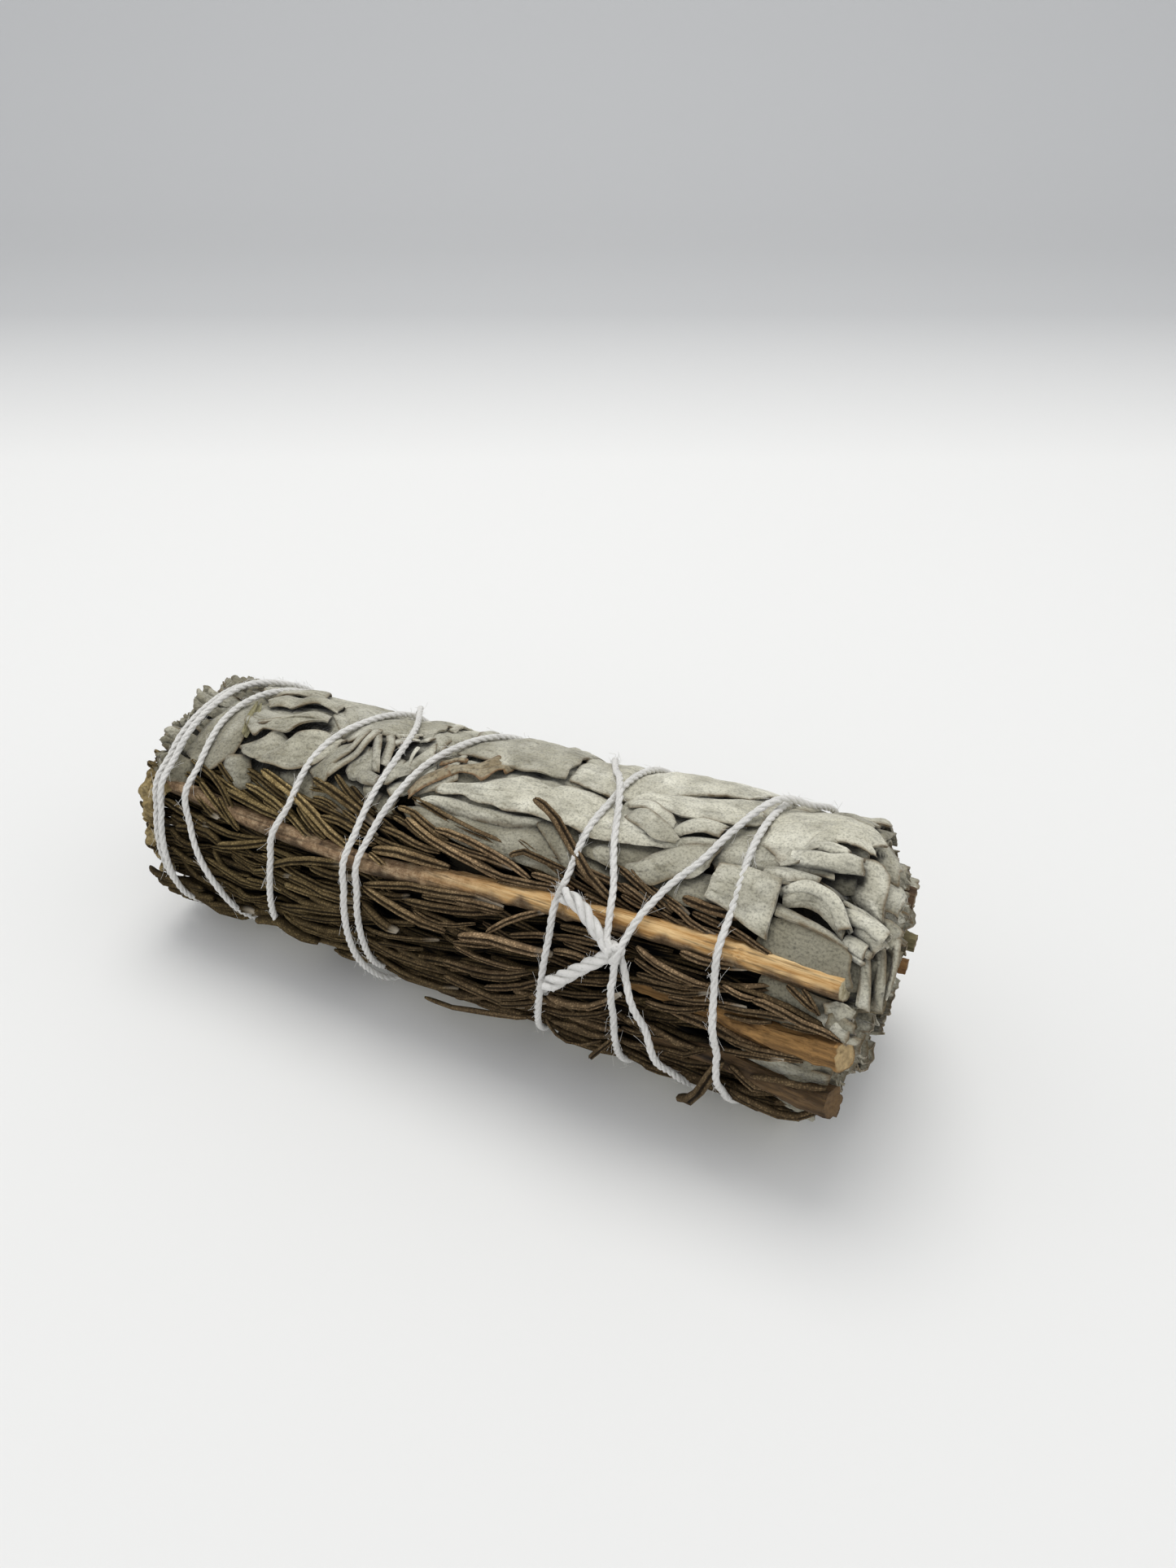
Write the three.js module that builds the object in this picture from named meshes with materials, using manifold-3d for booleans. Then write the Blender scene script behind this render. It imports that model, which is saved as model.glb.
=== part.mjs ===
// Tied herb bundle: a roll of sage leaves with rosemary sprigs along its front side,
// wound with one cotton string. Units are mm. The bundle lies along X with its leaf tips
// at -X and its cut stems at +X; the rosemary faces -Y and the floor is z = 0.
//
// Points on the bundle are given as (x, around, out): around is the angle in degrees from
// the top (0) over the front (90) to the underside (180), and out is the distance from the
// bundle's axis.
import * as THREE from 'three';
import { mergeVertices } from 'three/addons/utils/BufferGeometryUtils.js';
import Module from 'manifold-3d';

const wasm = await Module();
wasm.setup();
const { Manifold, Mesh } = wasm;

// Bundle
const HALF_LENGTH = 52;
const TIP_RADIUS = 16.8;
const BUTT_RADIUS = 19.2;
const PRESSED_FLAT = 0.6;
const TIP_CURL_START = -47.5;
const GAP = 0.3;
const STEM_GAP = 0.42;

// Sage leaves
const LEAF_THICKNESS = 0.8;
const CORE_DEPTH = 1.9;
const LEAF_ROWS = 3;
const LEAVES_PER_ROW = 6;
const LEAF_ROW_SPACING = 31;
const SCROLL_THICKNESS = 0.75;
const TIP_LEAVES = 15;
const STUB_START = 34;
const STUB_SIDES = 9;
const STEM_STUBS = [
  { name: 'sage_stem_olive', side: 9.5, height: 18.5, radius: 1.1, end: 53 },
  { name: 'sage_stem_tan', side: 11.5, height: 12.3, radius: 1.0, end: 52.4 },
  { name: 'sage_stem_dark', side: 8.5, height: 26, radius: 1.3, end: 51.9 },
  { name: 'sage_stem_pale', side: 0.5, height: 18.6, radius: 1.6, end: 51.2 },
];

// Rosemary
const BED_DEPTH = 3.7;
const PAD_INSIDE = 2.9;
const PAD_OUTSIDE = 1.8;
const BED_BOTTOM = 142;
const SPRIG_EDGES = [67, 88];
const NEEDLE_WIDTH = 1.9;
const NEEDLE_HEIGHT = 1.25;
const NEEDLE_BASE_DEPTH = 2.4;
const NEEDLE_TIP_DEPTH = 1.05;
const NEEDLE_SPACING = 8;
const STEM_SIDES = 8;

// String
const STRING_RADIUS = 0.65;
const STRING_SIDES = 5;
const STRING_SINK = 0.45;
const STRING_CHORD_ERROR = 0.38;
const PINCH_DEPTH = 0.9;
const PINCH_REACH = 2.6;

// Smallest edge worth keeping after the cuts.
const SIMPLIFY = 0.01;

// ---------- Shared measures ----------

const toRadians = Math.PI / 180;

function bundleRadius(x) {
  const share = (x + HALF_LENGTH) / (2 * HALF_LENGTH);
  return TIP_RADIUS + (BUTT_RADIUS - TIP_RADIUS) * share;
}

function axisHeight(x) {
  return bundleRadius(x) - PRESSED_FLAT;
}

function place(x, around, out) {
  const angle = around * toRadians;
  const y = -out * Math.sin(angle);
  const z = axisHeight(x) + out * Math.cos(angle);
  return new THREE.Vector3(x, y, z);
}

let seed = 4127;

function random(low, high) {
  seed = (seed * 16807) % 2147483647;
  return low + (high - low) * (seed / 2147483647);
}

// Value at x of a run of [x, y] pairs, straight between them.
function along(pairs, x) {
  let i = 0;
  while (i < pairs.length - 2 && x > pairs[i + 1][0]) i += 1;
  const [x0, y0] = pairs[i];
  const [x1, y1] = pairs[i + 1];
  const share = THREE.MathUtils.clamp((x - x0) / (x1 - x0), 0, 1);
  return y0 + (y1 - y0) * share;
}

function shortestTurn(a, b) {
  return ((((a - b + 180) % 360) + 360) % 360) - 180;
}

// ---------- Solids from points ----------

function solidOf(geometry) {
  geometry.deleteAttribute('normal');
  geometry.deleteAttribute('uv');
  const merged = mergeVertices(geometry, 1e-4);
  const vertProperties = merged.attributes.position.array;
  const triVerts = new Uint32Array(merged.index.array);
  return new Manifold(new Mesh({ numProp: 3, vertProperties, triVerts }));
}

// Closed solid from vertices and triangles, turned outwards if it came inside out.
function solid(points, triangles) {
  let volume = 0;
  for (const [a, b, c] of triangles) {
    volume += points[a].dot(points[b].clone().cross(points[c]));
  }
  const turned = volume > 0 ? triangles : triangles.map(([a, b, c]) => [a, c, b]);
  return solidOf(new THREE.BufferGeometry().setFromPoints(points).setIndex(turned.flat()));
}

// Solid through a row of rings with the same number of points each.
function loft(rings) {
  const count = rings[0].length;
  const triangles = [];
  for (let i = 0; i < rings.length - 1; i += 1) {
    for (let j = 0; j < count; j += 1) {
      const a = i * count + j;
      const b = i * count + ((j + 1) % count);
      triangles.push([a, b, b + count], [a, b + count, a + count]);
    }
  }
  const last = (rings.length - 1) * count;
  for (let j = 1; j < count - 1; j += 1) {
    triangles.push([0, j + 1, j], [last, last + j, last + j + 1]);
  }
  return solid(rings.flat(), triangles);
}

// Thin sheet: pointAt(u, v) with u and v from 0 to 1 gives its middle surface.
function sheet(pointAt, uSteps, vSteps, thickness) {
  const points = [];
  const nudge = 0.01;
  for (const side of [0.5, -0.5]) {
    for (let i = 0; i <= uSteps; i += 1) {
      for (let j = 0; j <= vSteps; j += 1) {
        const u = i / uSteps;
        const v = j / vSteps;
        const du = u < 0.5 ? nudge : -nudge;
        const dv = v < 0.5 ? nudge : -nudge;
        const p = pointAt(u, v);
        const alongU = pointAt(u + du, v).sub(p).multiplyScalar(Math.sign(du));
        const alongV = pointAt(u, v + dv).sub(p).multiplyScalar(Math.sign(dv));
        const normal = alongU.cross(alongV).normalize();
        points.push(p.addScaledVector(normal, side * thickness));
      }
    }
  }
  const row = vSteps + 1;
  const layer = row * (uSteps + 1);
  const triangles = [];
  for (let i = 0; i < uSteps; i += 1) {
    for (let j = 0; j < vSteps; j += 1) {
      const a = i * row + j;
      triangles.push([a, a + row, a + row + 1], [a, a + row + 1, a + 1]);
      triangles.push([layer + a, layer + a + row + 1, layer + a + row]);
      triangles.push([layer + a, layer + a + 1, layer + a + row + 1]);
    }
  }
  const edge = [];
  for (let j = 0; j < vSteps; j += 1) edge.push(j);
  for (let i = 0; i < uSteps; i += 1) edge.push(i * row + vSteps);
  for (let j = vSteps; j > 0; j -= 1) edge.push(uSteps * row + j);
  for (let i = uSteps; i > 0; i -= 1) edge.push(i * row);
  edge.forEach((a, k) => {
    const b = edge[(k + 1) % edge.length];
    triangles.push([a, b, layer + b], [a, layer + b, layer + a]);
  });
  return solid(points, triangles);
}

// Round rod with the given sides along points, with one radius for each point.
function rod(points, radii, sides) {
  const rings = points.map((point, i) => {
    const ahead = points[Math.min(i + 1, points.length - 1)];
    const behind = points[Math.max(i - 1, 0)];
    const heading = ahead.clone().sub(behind).normalize();
    const centre = new THREE.Vector3(point.x, 0, axisHeight(point.x));
    const outward = point.clone().sub(centre);
    outward.addScaledVector(heading, -outward.dot(heading)).normalize();
    const across = heading.clone().cross(outward);
    const ring = [];
    for (let k = 0; k < sides; k += 1) {
      const angle = (2 * Math.PI * (k + 0.5)) / sides;
      const spoke = point.clone();
      spoke.addScaledVector(across, radii[i] * Math.cos(angle));
      spoke.addScaledVector(outward, radii[i] * Math.sin(angle));
      ring.push(spoke);
    }
    return ring;
  });
  return loft(rings);
}

// Curve that stops at each of its points in turn, however far apart they are.
class PointPath extends THREE.Curve {
  constructor(points) {
    super();
    this.points = points;
  }

  getPoint(t, target = new THREE.Vector3()) {
    const last = this.points.length - 1;
    const i = Math.min(Math.floor(t * last + 1e-6), last - 1);
    return target.lerpVectors(this.points[i], this.points[i + 1], t * last - i);
  }

  getPointAt(t, target) {
    return this.getPoint(t, target);
  }

  getTangentAt(t, target = new THREE.Vector3()) {
    const last = this.points.length - 1;
    const i = Math.round(t * last);
    const ahead = this.points[Math.min(i + 1, last)];
    const behind = this.points[Math.max(i - 1, 0)];
    return target.subVectors(ahead, behind).normalize();
  }
}

function tube(points, radius, sides) {
  const corners = [];
  for (let k = 0; k < sides; k += 1) {
    const angle = (2 * Math.PI * k) / sides;
    corners.push(new THREE.Vector2(radius * Math.cos(angle), radius * Math.sin(angle)));
  }
  return solidOf(new THREE.ExtrudeGeometry(new THREE.Shape(corners), {
    steps: points.length - 1,
    extrudePath: new PointPath(points),
  }));
}

function lump(centre, size, detail) {
  const ball = new THREE.IcosahedronGeometry(1, detail);
  return solidOf(ball.scale(...size).translate(centre.x, centre.y, centre.z));
}

function largest(shape) {
  const pieces = shape.decompose();
  return pieces.reduce((best, piece) => (piece.volume() > best.volume() ? piece : best));
}

// ---------- Stem lines, as [x, around] ----------

const STEM_A = [
  [-50, 52], [-32.6, 58], [-21.4, 60], [-12.1, 61.5], [1, 56.5],
  [10, 54.5], [22.7, 52], [31.7, 51], [44.1, 51.5], [49.2, 52],
];
const STEM_B = [[24, 77.5], [36.7, 78], [43.3, 76.5], [50.8, 75]];
const STEM_C = [[28, 100], [39.3, 97.5], [50.6, 98]];
const STEMS = [
  { name: 'rosemary_stem_a', line: STEM_A, tipRadius: 0.8, buttRadius: 1.4, buried: 0 },
  { name: 'rosemary_stem_b', line: STEM_B, tipRadius: 1.2, buttRadius: 1.5, buried: 1.2 },
  { name: 'rosemary_stem_c', line: STEM_C, tipRadius: 1.3, buttRadius: 1.6, buried: 1 },
];
const STEM_DEPTH = 1.1;

// ---------- String route, as [around, x] ----------

// One continuous winding from the knot and back to it. Each turn adds 360 degrees.
const KNOT = { x: 23.4, around: 62, rise: 1.3, size: [1.7, 1.5, 1.9] };
const ROUTE = [
  [63, 23.9], [70, 25.2], [87, 28], [107, 30.8], [125, 33],
  [180, 34.8], [270, 35.6],
  [341, 35.2], [359, 34.7], [373, 34.6], [392, 35], [421, 35.4], [446, 37.1], [476, 38],
  [540, 38.6], [630, 38.4],
  [700, 37], [714, 33.4], [728, 31.5], [744, 29.6], [756, 27.1], [770, 25.1], [783, 24],
  [798, 24.1], [829, 24.2], [900, 22.5], [990, 19.5],
  [1055, 16.5], [1075, 16], [1088, 15.8], [1101, 15.1], [1120, 15], [1138, 14.8],
  [1169, 14.2], [1201, 12.4], [1260, 8], [1350, -1],
  [1412, -5.6], [1432, -7.7], [1453, -10.2], [1473, -11.8], [1494, -13.1], [1515, -13.1],
  [1545, -12.8], [1569, -13.4], [1640, -17], [1710, -21],
  [1796, -24], [1806, -25.1], [1823, -26.2], [1847, -26.4], [1865, -27.3], [1881, -27.6],
  [1911, -28.9], [1980, -33], [2070, -38],
  [2125, -40.8], [2157, -43.1], [2174, -43.6], [2196, -43.1], [2218, -42.7], [2227, -42],
  [2243, -40.2], [2260, -37.8], [2340, -38.5], [2430, -43],
  [2486, -46.4], [2506, -47.9], [2527, -48.1], [2550, -48.5], [2568, -48.4], [2588, -48.2],
  [2609, -47.6], [2700, -46.5], [2790, -45.5],
  [2846, -44.6], [2866, -46.2], [2887, -46.5], [2910, -46.9], [2928, -46.8], [2948, -46.6],
  [2969, -46], [3060, -45.2], [3100, -44], [3150, -34], [3200, -22],
  [3238, -15.5], [3252, -14.7], [3275, -14.8], [3295, -14.7], [3326, -14.6], [3350, -14.4],
  [3369, -13.8], [3395, -11], [3440, -6], [3510, 4],
  [3585, 13], [3607, 16.9], [3624, 18.7], [3644, 21.2], [3659, 22.4],
];
const TAILS = [
  [[62, 23.2], [57, 21], [51, 18.4], [48.5, 15.8]],
  [[63, 23.2], [69, 20.8], [76, 18.1], [83, 15.6]],
];
const TAIL_RADIUS = 0.85;
const FRAY_SIZE = [1.15, 1.15, 1.15];

// Smooth run through the waypoints, every few degrees.
function stringRoute() {
  const points = [];
  const stepDegrees = 4;
  for (let i = 0; i < ROUTE.length - 1; i += 1) {
    const [a0, x0] = ROUTE[Math.max(i - 1, 0)];
    const [a1, x1] = ROUTE[i];
    const [a2, x2] = ROUTE[i + 1];
    const [a3, x3] = ROUTE[Math.min(i + 2, ROUTE.length - 1)];
    const span = a2 - a1;
    const slope1 = ((x2 - x0) / (a2 - a0)) * span;
    const slope2 = ((x3 - x1) / (a3 - a1)) * span;
    const steps = Math.max(1, Math.round(span / stepDegrees));
    for (let k = 0; k < steps; k += 1) {
      const t = k / steps;
      const t2 = t * t;
      const t3 = t2 * t;
      const x = (2 * t3 - 3 * t2 + 1) * x1 + (t3 - 2 * t2 + t) * slope1
        + (3 * t2 - 2 * t3) * x2 + (t3 - t2) * slope2;
      points.push({ around: a1 + span * t, x });
    }
  }
  const [around, x] = ROUTE[ROUTE.length - 1];
  points.push({ around, x });
  return points;
}

function spacing(p, q) {
  const arc = shortestTurn(p.around, q.around) * toRadians * bundleRadius(p.x);
  return Math.hypot(p.x - q.x, arc);
}

const route = stringRoute();

// How deep the winding bites into the bundle at a place.
function pinch(x, around) {
  let nearest = 1e9;
  for (const p of route) {
    if (Math.abs(p.x - x) > 3 * PINCH_REACH) continue;
    nearest = Math.min(nearest, spacing(p, { x, around }));
  }
  return PINCH_DEPTH * Math.exp(-((nearest / PINCH_REACH) ** 2));
}

// The leaf and needle tips close in over the tip end.
function tipCurl(x) {
  return 0.12 * Math.max(0, TIP_CURL_START - x) ** 2;
}

function skin(x, around) {
  return bundleRadius(x) - pinch(x, around) - tipCurl(x);
}

// The string rises over the stems and over the turns that were wound before it.
function overStems(x, around) {
  let rise = 0;
  for (const stem of STEMS) {
    if (x < stem.line[0][0] || x > stem.line[stem.line.length - 1][0]) continue;
    const offset = shortestTurn(around, along(stem.line, x)) * toRadians * bundleRadius(x);
    const reach = 4.2;
    if (Math.abs(offset) < reach) {
      rise = Math.max(rise, Math.cos((Math.PI / 2) * (offset / reach)) ** 2);
    }
  }
  return rise;
}

const CROSSING_REACH = 3.2;
const CROSSING_RISE = 2 * STRING_RADIUS + 0.08;
const STEM_RISE = 0.9;

route.forEach((point, i) => {
  point.rise = STEM_RISE * overStems(point.x, point.around);
  let crossing = 0;
  for (let j = 0; j < i; j += 1) {
    const earlier = route[j];
    if (point.around - earlier.around < 180) break;
    const distance = spacing(point, earlier);
    if (distance > CROSSING_REACH) continue;
    const share = Math.cos((Math.PI / 2) * (distance / CROSSING_REACH)) ** 2;
    crossing = Math.max(crossing, share * (earlier.crossing + CROSSING_RISE));
  }
  point.crossing = crossing;
});

function stringCentre(point) {
  const out = bundleRadius(point.x) + STRING_SINK + point.rise + point.crossing;
  const centre = place(point.x, point.around, out);
  centre.z = Math.max(centre.z, STRING_RADIUS + 0.02);
  return centre;
}

// Keeps only the route points that the curve needs.
function thinned(points) {
  const kept = [points[0]];
  let start = 0;
  for (let i = 2; i < points.length; i += 1) {
    const a = stringCentre(points[start]);
    const b = stringCentre(points[i]);
    const chord = new THREE.Line3(a, b);
    let worst = 0;
    for (let k = start + 1; k < i; k += 1) {
      const p = stringCentre(points[k]);
      const foot = chord.closestPointToPoint(p, true, new THREE.Vector3());
      worst = Math.max(worst, foot.distanceTo(p));
    }
    if (worst > STRING_CHORD_ERROR) {
      start = i - 1;
      kept.push(points[start]);
    }
  }
  kept.push(points[points.length - 1]);
  return kept;
}

const stringPoints = thinned(route);

// A tail leaves the knot a little higher than it lies on the needles.
function tailPoints(tail) {
  const atKnot = 0.9;
  const onNeedles = 0.55;
  const overStem = 1.1;
  return tail.map(([around, x], i) => {
    const rise = i === 0 ? atKnot : onNeedles + overStem * overStems(x, around);
    return place(x, around, bundleRadius(x) + STRING_SINK + rise);
  });
}

function knotCentre() {
  return place(KNOT.x, KNOT.around, bundleRadius(KNOT.x) + KNOT.rise);
}

function cottonString() {
  const winding = tube(stringPoints.map((p) => stringCentre(p)), STRING_RADIUS, STRING_SIDES);
  const tails = TAILS.map((tail) => tube(tailPoints(tail), TAIL_RADIUS, STRING_SIDES));
  const frays = TAILS.map((tail) => lump(tailPoints(tail).at(-1), FRAY_SIZE, 0));
  const parts = [winding, lump(knotCentre(), KNOT.size, 1), ...tails, ...frays];
  return largest(Manifold.union(parts));
}

// Room round the string, one solid for each stretch so that none crosses itself.
function stringRoom() {
  const parts = [];
  const stretch = 8;
  const widen = (radius) => (radius + GAP) / Math.cos(Math.PI / STRING_SIDES);
  for (let i = 0; i < stringPoints.length - 1; i += stretch) {
    const run = stringPoints.slice(i, i + stretch + 1);
    parts.push(tube(run.map((p) => stringCentre(p)), widen(STRING_RADIUS), STRING_SIDES));
  }
  for (const tail of TAILS) {
    const points = tailPoints(tail);
    parts.push(tube(points, widen(TAIL_RADIUS), STRING_SIDES));
    parts.push(lump(points.at(-1), FRAY_SIZE.map((size) => size + 2 * GAP), 0));
  }
  parts.push(lump(knotCentre(), KNOT.size.map((size) => size + 2 * GAP), 1));
  return Manifold.union(parts);
}

// ---------- Rosemary bed ----------

// Upper edge of the rosemary against the sage leaves, as [x, around].
const BED_TOP = [
  [-56, 38], [-35, 37], [-22, 33], [-3, 26], [7, 29], [15, 35], [35, 38], [44, 44], [56, 55],
];

function bedTop(x) {
  return along(BED_TOP, x);
}

// Block between two edges round the bundle and two depths, for the length from x0 to x1.
function sector({ x0, x1, topAt, bottomAt, innerAt, outerAt, arcSteps }) {
  const bends = BED_TOP.map(([x]) => x).filter((x) => x > x0 + 1 && x < x1 - 1);
  const rings = [x0, ...bends, x1].map((x) => {
    const top = topAt(x);
    const bottom = bottomAt(x);
    const ring = [];
    for (let k = 0; k <= arcSteps; k += 1) {
      ring.push(place(x, top + ((bottom - top) * k) / arcSteps, outerAt(x)));
    }
    for (let k = arcSteps; k >= 0; k -= 1) {
      ring.push(place(x, top + ((bottom - top) * k) / arcSteps, innerAt(x)));
    }
    return ring;
  });
  return bandSolid(rings, arcSteps);
}

// Closes a run of band-shaped rings with quads across the band at both ends.
function bandSolid(rings, arcSteps) {
  const count = rings[0].length;
  const triangles = [];
  for (let i = 0; i < rings.length - 1; i += 1) {
    for (let j = 0; j < count; j += 1) {
      const a = i * count + j;
      const b = i * count + ((j + 1) % count);
      triangles.push([a, b, b + count], [a, b + count, a + count]);
    }
  }
  const last = (rings.length - 1) * count;
  for (let k = 0; k < arcSteps; k += 1) {
    const far = count - 1 - k;
    triangles.push([k, far, k + 1], [k + 1, far, far - 1]);
    triangles.push([last + k, last + k + 1, last + far]);
    triangles.push([last + k + 1, last + far - 1, last + far]);
  }
  return solid(rings.flat(), triangles);
}

// ---------- Sage leaf roll ----------

// Leaf lying on the bundle from its base at (x, around), heading towards the tip end.
function leaf({ x, around, length, width, heading, lift, tilt, curl, flare }) {
  const turn = heading * toRadians;
  const radius = bundleRadius(x);
  return sheet((u, v) => {
    const across = 2 * v - 1;
    const outline = 0.25 + 0.75 * Math.sin(Math.PI * (0.1 + 0.84 * u));
    const side = across * (width / 2) * outline;
    const run = length * u;
    const atX = x - run * Math.cos(turn) + side * Math.sin(turn);
    const atAround = around + (run * Math.sin(turn) + side * Math.cos(turn)) / radius / toRadians;
    const out = skin(atX, atAround) - LEAF_THICKNESS / 2 + lift + tilt * across
      + curl * (across * across - 0.4) + flare * u * u;
    return place(atX, atAround, out);
  }, 3, 2, LEAF_THICKNESS);
}

// Leaf end rolled up like a scroll round a line along X.
function scroll({ side, height, inner, outer, turns, start, x0, x1 }) {
  const stepsPerTurn = 6;
  return sheet((u, v) => {
    const angle = (start + 360 * turns * u) * toRadians;
    const radius = inner + (outer - inner) * u;
    const x = x0 + (x1 - x0) * v;
    return new THREE.Vector3(x, side + radius * Math.cos(angle), height + radius * Math.sin(angle));
  }, Math.ceil(turns * stepsPerTurn), 1, SCROLL_THICKNESS);
}

// Pointed leaf tip curling in over the tip end.
function tipLeaf({ around, depth, length, width, lean, bend }) {
  const x = -HALF_LENGTH + 8.5;
  return sheet((u, v) => {
    const across = 2 * v - 1;
    const half = (width / 2) * Math.cos((Math.PI / 2) * 0.82 * u);
    const out = bundleRadius(x) - depth - lean * u * u + bend * across * across;
    const spread = (half * across) / Math.max(out, 4) / toRadians;
    return place(x - length * u, around + spread, out);
  }, 2, 2, LEAF_THICKNESS);
}

function sageCore() {
  const rings = [];
  const sides = 14;
  const ends = [
    [-HALF_LENGTH + 4.6, 6.5], [-HALF_LENGTH + 6.4, 3.4], [-HALF_LENGTH + 9, CORE_DEPTH],
    [-20, CORE_DEPTH], [10, CORE_DEPTH], [HALF_LENGTH - 9, CORE_DEPTH],
    [HALF_LENGTH - 7, 3.2],
  ];
  for (const [x, depth] of ends) {
    const ring = [];
    for (let k = 0; k < sides; k += 1) {
      ring.push(place(x, (360 * k) / sides, bundleRadius(x) - depth));
    }
    rings.push(ring);
  }
  return loft(rings);
}

function outerLeaves() {
  const leaves = [];
  const topEdge = -214;
  const bottomEdge = 30;
  for (let row = 0; row < LEAF_ROWS; row += 1) {
    for (let k = 0; k < LEAVES_PER_ROW; k += 1) {
      const share = (k + (row % 2) * 0.5) / (LEAVES_PER_ROW - 0.5);
      leaves.push(leaf({
        x: HALF_LENGTH - 2.5 - row * LEAF_ROW_SPACING + random(-2, 1.5),
        around: topEdge + (bottomEdge - topEdge) * share + random(-4, 4),
        length: random(38, 43),
        width: random(15, 19),
        heading: random(-9, 9),
        lift: random(-0.45, 0.05),
        tilt: random(0.25, 0.6) * (random(0, 1) > 0.25 ? -1 : 1),
        curl: random(-0.25, 0.35),
        flare: random(-0.5, 0),
      }));
    }
  }
  return leaves;
}

function scrolls() {
  const list = [];
  const rows = [
    { ring: 13.4, count: 8, size: 3.7, out: 49.6 },
    { ring: 5.4, count: 3, size: 4.1, out: 48.8 },
  ];
  for (const { ring, count, size, out } of rows) {
    for (let k = 0; k < count; k += 1) {
      const angle = (360 * k) / count + random(-7, 7);
      const centre = place(46, angle, ring + random(-0.5, 0.5));
      const outer = size * random(0.8, 1.08);
      list.push(scroll({
        side: centre.y,
        height: centre.z,
        inner: 0.8,
        outer,
        turns: random(1.15, 1.7),
        start: random(0, 360),
        x0: 42.5,
        x1: out + random(-1.6, 1.4),
      }));
    }
  }
  return list;
}

function tipLeaves() {
  const list = [];
  for (let k = 0; k < TIP_LEAVES; k += 1) {
    const inside = k % 3;
    list.push(tipLeaf({
      around: (360 * k) / TIP_LEAVES + random(-6, 6),
      depth: 0.9 + inside * 3.6 + random(0, 0.8),
      length: random(7, 9.2) - inside * 0.3,
      width: random(5, 8.5) - inside,
      lean: random(0.5, 3),
      bend: random(-0.6, 0.9),
    }));
  }
  return list;
}

// Low leaf that the bundle rests on, smooth where it is pressed flat.
function restingLeaf() {
  return sheet((u, v) => {
    const x = 30 - 60 * u;
    const around = 170 + 28 * v;
    return place(x, around, bundleRadius(x) - LEAF_THICKNESS / 2 + 0.15);
  }, 4, 4, LEAF_THICKNESS);
}

function stubPoints({ side, height, end }, extra) {
  const start = new THREE.Vector3(STUB_START, side * 0.9, height);
  const finish = new THREE.Vector3(end + extra, side, height);
  return [start, finish];
}

function stub(description) {
  const { radius } = description;
  return rod(stubPoints(description, 0), [radius, radius], STUB_SIDES);
}

// The hole for a stub runs on past the end of the bundle.
function stubRoom(description) {
  const radius = description.radius + STEM_GAP;
  const [start, finish] = stubPoints(description, 6);
  start.x -= GAP;
  return rod([start, finish], [radius, radius], STUB_SIDES);
}

const room = stringRoom();
const floorBlock = solidOf(new THREE.BoxGeometry(200, 100, 20).translate(0, 0, -10));
const bed = sector({
  x0: -60,
  x1: 47.3,
  topAt: bedTop,
  bottomAt: () => BED_BOTTOM,
  innerAt: (x) => bundleRadius(x) - BED_DEPTH,
  outerAt: () => 30,
  arcSteps: 4,
});

function sageRoll() {
  const leaves = [...outerLeaves(), ...tipLeaves(), ...scrolls(), restingLeaf()];
  const whole = Manifold.union([sageCore(), ...leaves]);
  const holes = STEM_STUBS.map(stubRoom);
  const cut = Manifold.difference([whole, bed, stemRoom, room, floorBlock, ...holes]);
  return largest(cut.simplify(SIMPLIFY));
}

// ---------- Rosemary sprigs ----------

// Three-sided needle on the bundle from (x, around), pointing towards the tip end.
function needle({ x, around, length, heading, tipOut, width }) {
  const turn = heading * toRadians;
  const radius = bundleRadius(x);
  const rings = [0, 1].map((t) => {
    const run = length * t;
    const atX = x - run * Math.cos(turn);
    const atAround = around + (run * Math.sin(turn)) / radius / toRadians;
    const spread = (t === 0 ? 1 : 0.5) * width * 0.5;
    const height = (t === 0 ? 1 : 0.7) * NEEDLE_HEIGHT;
    const depth = t === 0 ? NEEDLE_BASE_DEPTH : NEEDLE_TIP_DEPTH - tipOut;
    const base = skin(atX, atAround) - depth;
    const arc = spread / radius / toRadians;
    return [
      place(atX - spread * Math.sin(turn), atAround + arc * Math.cos(turn), base),
      place(atX, atAround, base + height),
      place(atX + spread * Math.sin(turn), atAround - arc * Math.cos(turn), base),
    ];
  });
  return loft(rings);
}

// Needles of one sprig on a thin pad, kept inside the sprig's share of the bed.
function sprig({ top, bottom, rows, startX, endX, stemLine, fan }) {
  const edges = (inset) => ({
    topAt: (x) => top(x) + inset,
    bottomAt: (x) => bottom(x) - inset,
  });
  const pad = sector({
    ...edges(1.5),
    x0: -46.5,
    x1: 45.5,
    innerAt: (x) => bundleRadius(x) - PAD_INSIDE,
    outerAt: (x) => bundleRadius(x) - PAD_OUTSIDE,
    arcSteps: 2,
  });
  const needles = [];
  for (let row = 0; row < rows; row += 1) {
    const first = endX - (row % 2) * NEEDLE_SPACING * 0.5;
    for (let x = first; x > startX; x -= NEEDLE_SPACING) {
      const share = (row + 0.5) / rows;
      const around = top(x) + (bottom(x) - top(x)) * share;
      const away = Math.sign(around - along(stemLine, x));
      needles.push(needle({
        x: x + random(-1.5, 1.5),
        around: around + random(-2, 2),
        length: Math.min(random(11.5, 15.5), x + HALF_LENGTH + 0.5),
        heading: away * random(0, fan) + random(-3, 3),
        tipOut: random(-0.4, 0.6),
        width: NEEDLE_WIDTH * random(0.9, 1.1),
      }));
    }
  }
  const limit = sector({
    ...edges(0.9),
    x0: -54.5,
    x1: 47,
    innerAt: (x) => bundleRadius(x) - BED_DEPTH + 2 * GAP,
    outerAt: (x) => bundleRadius(x) + 3,
    arcSteps: 2,
  });
  return Manifold.union([pad, ...needles]).intersect(limit);
}

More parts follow.
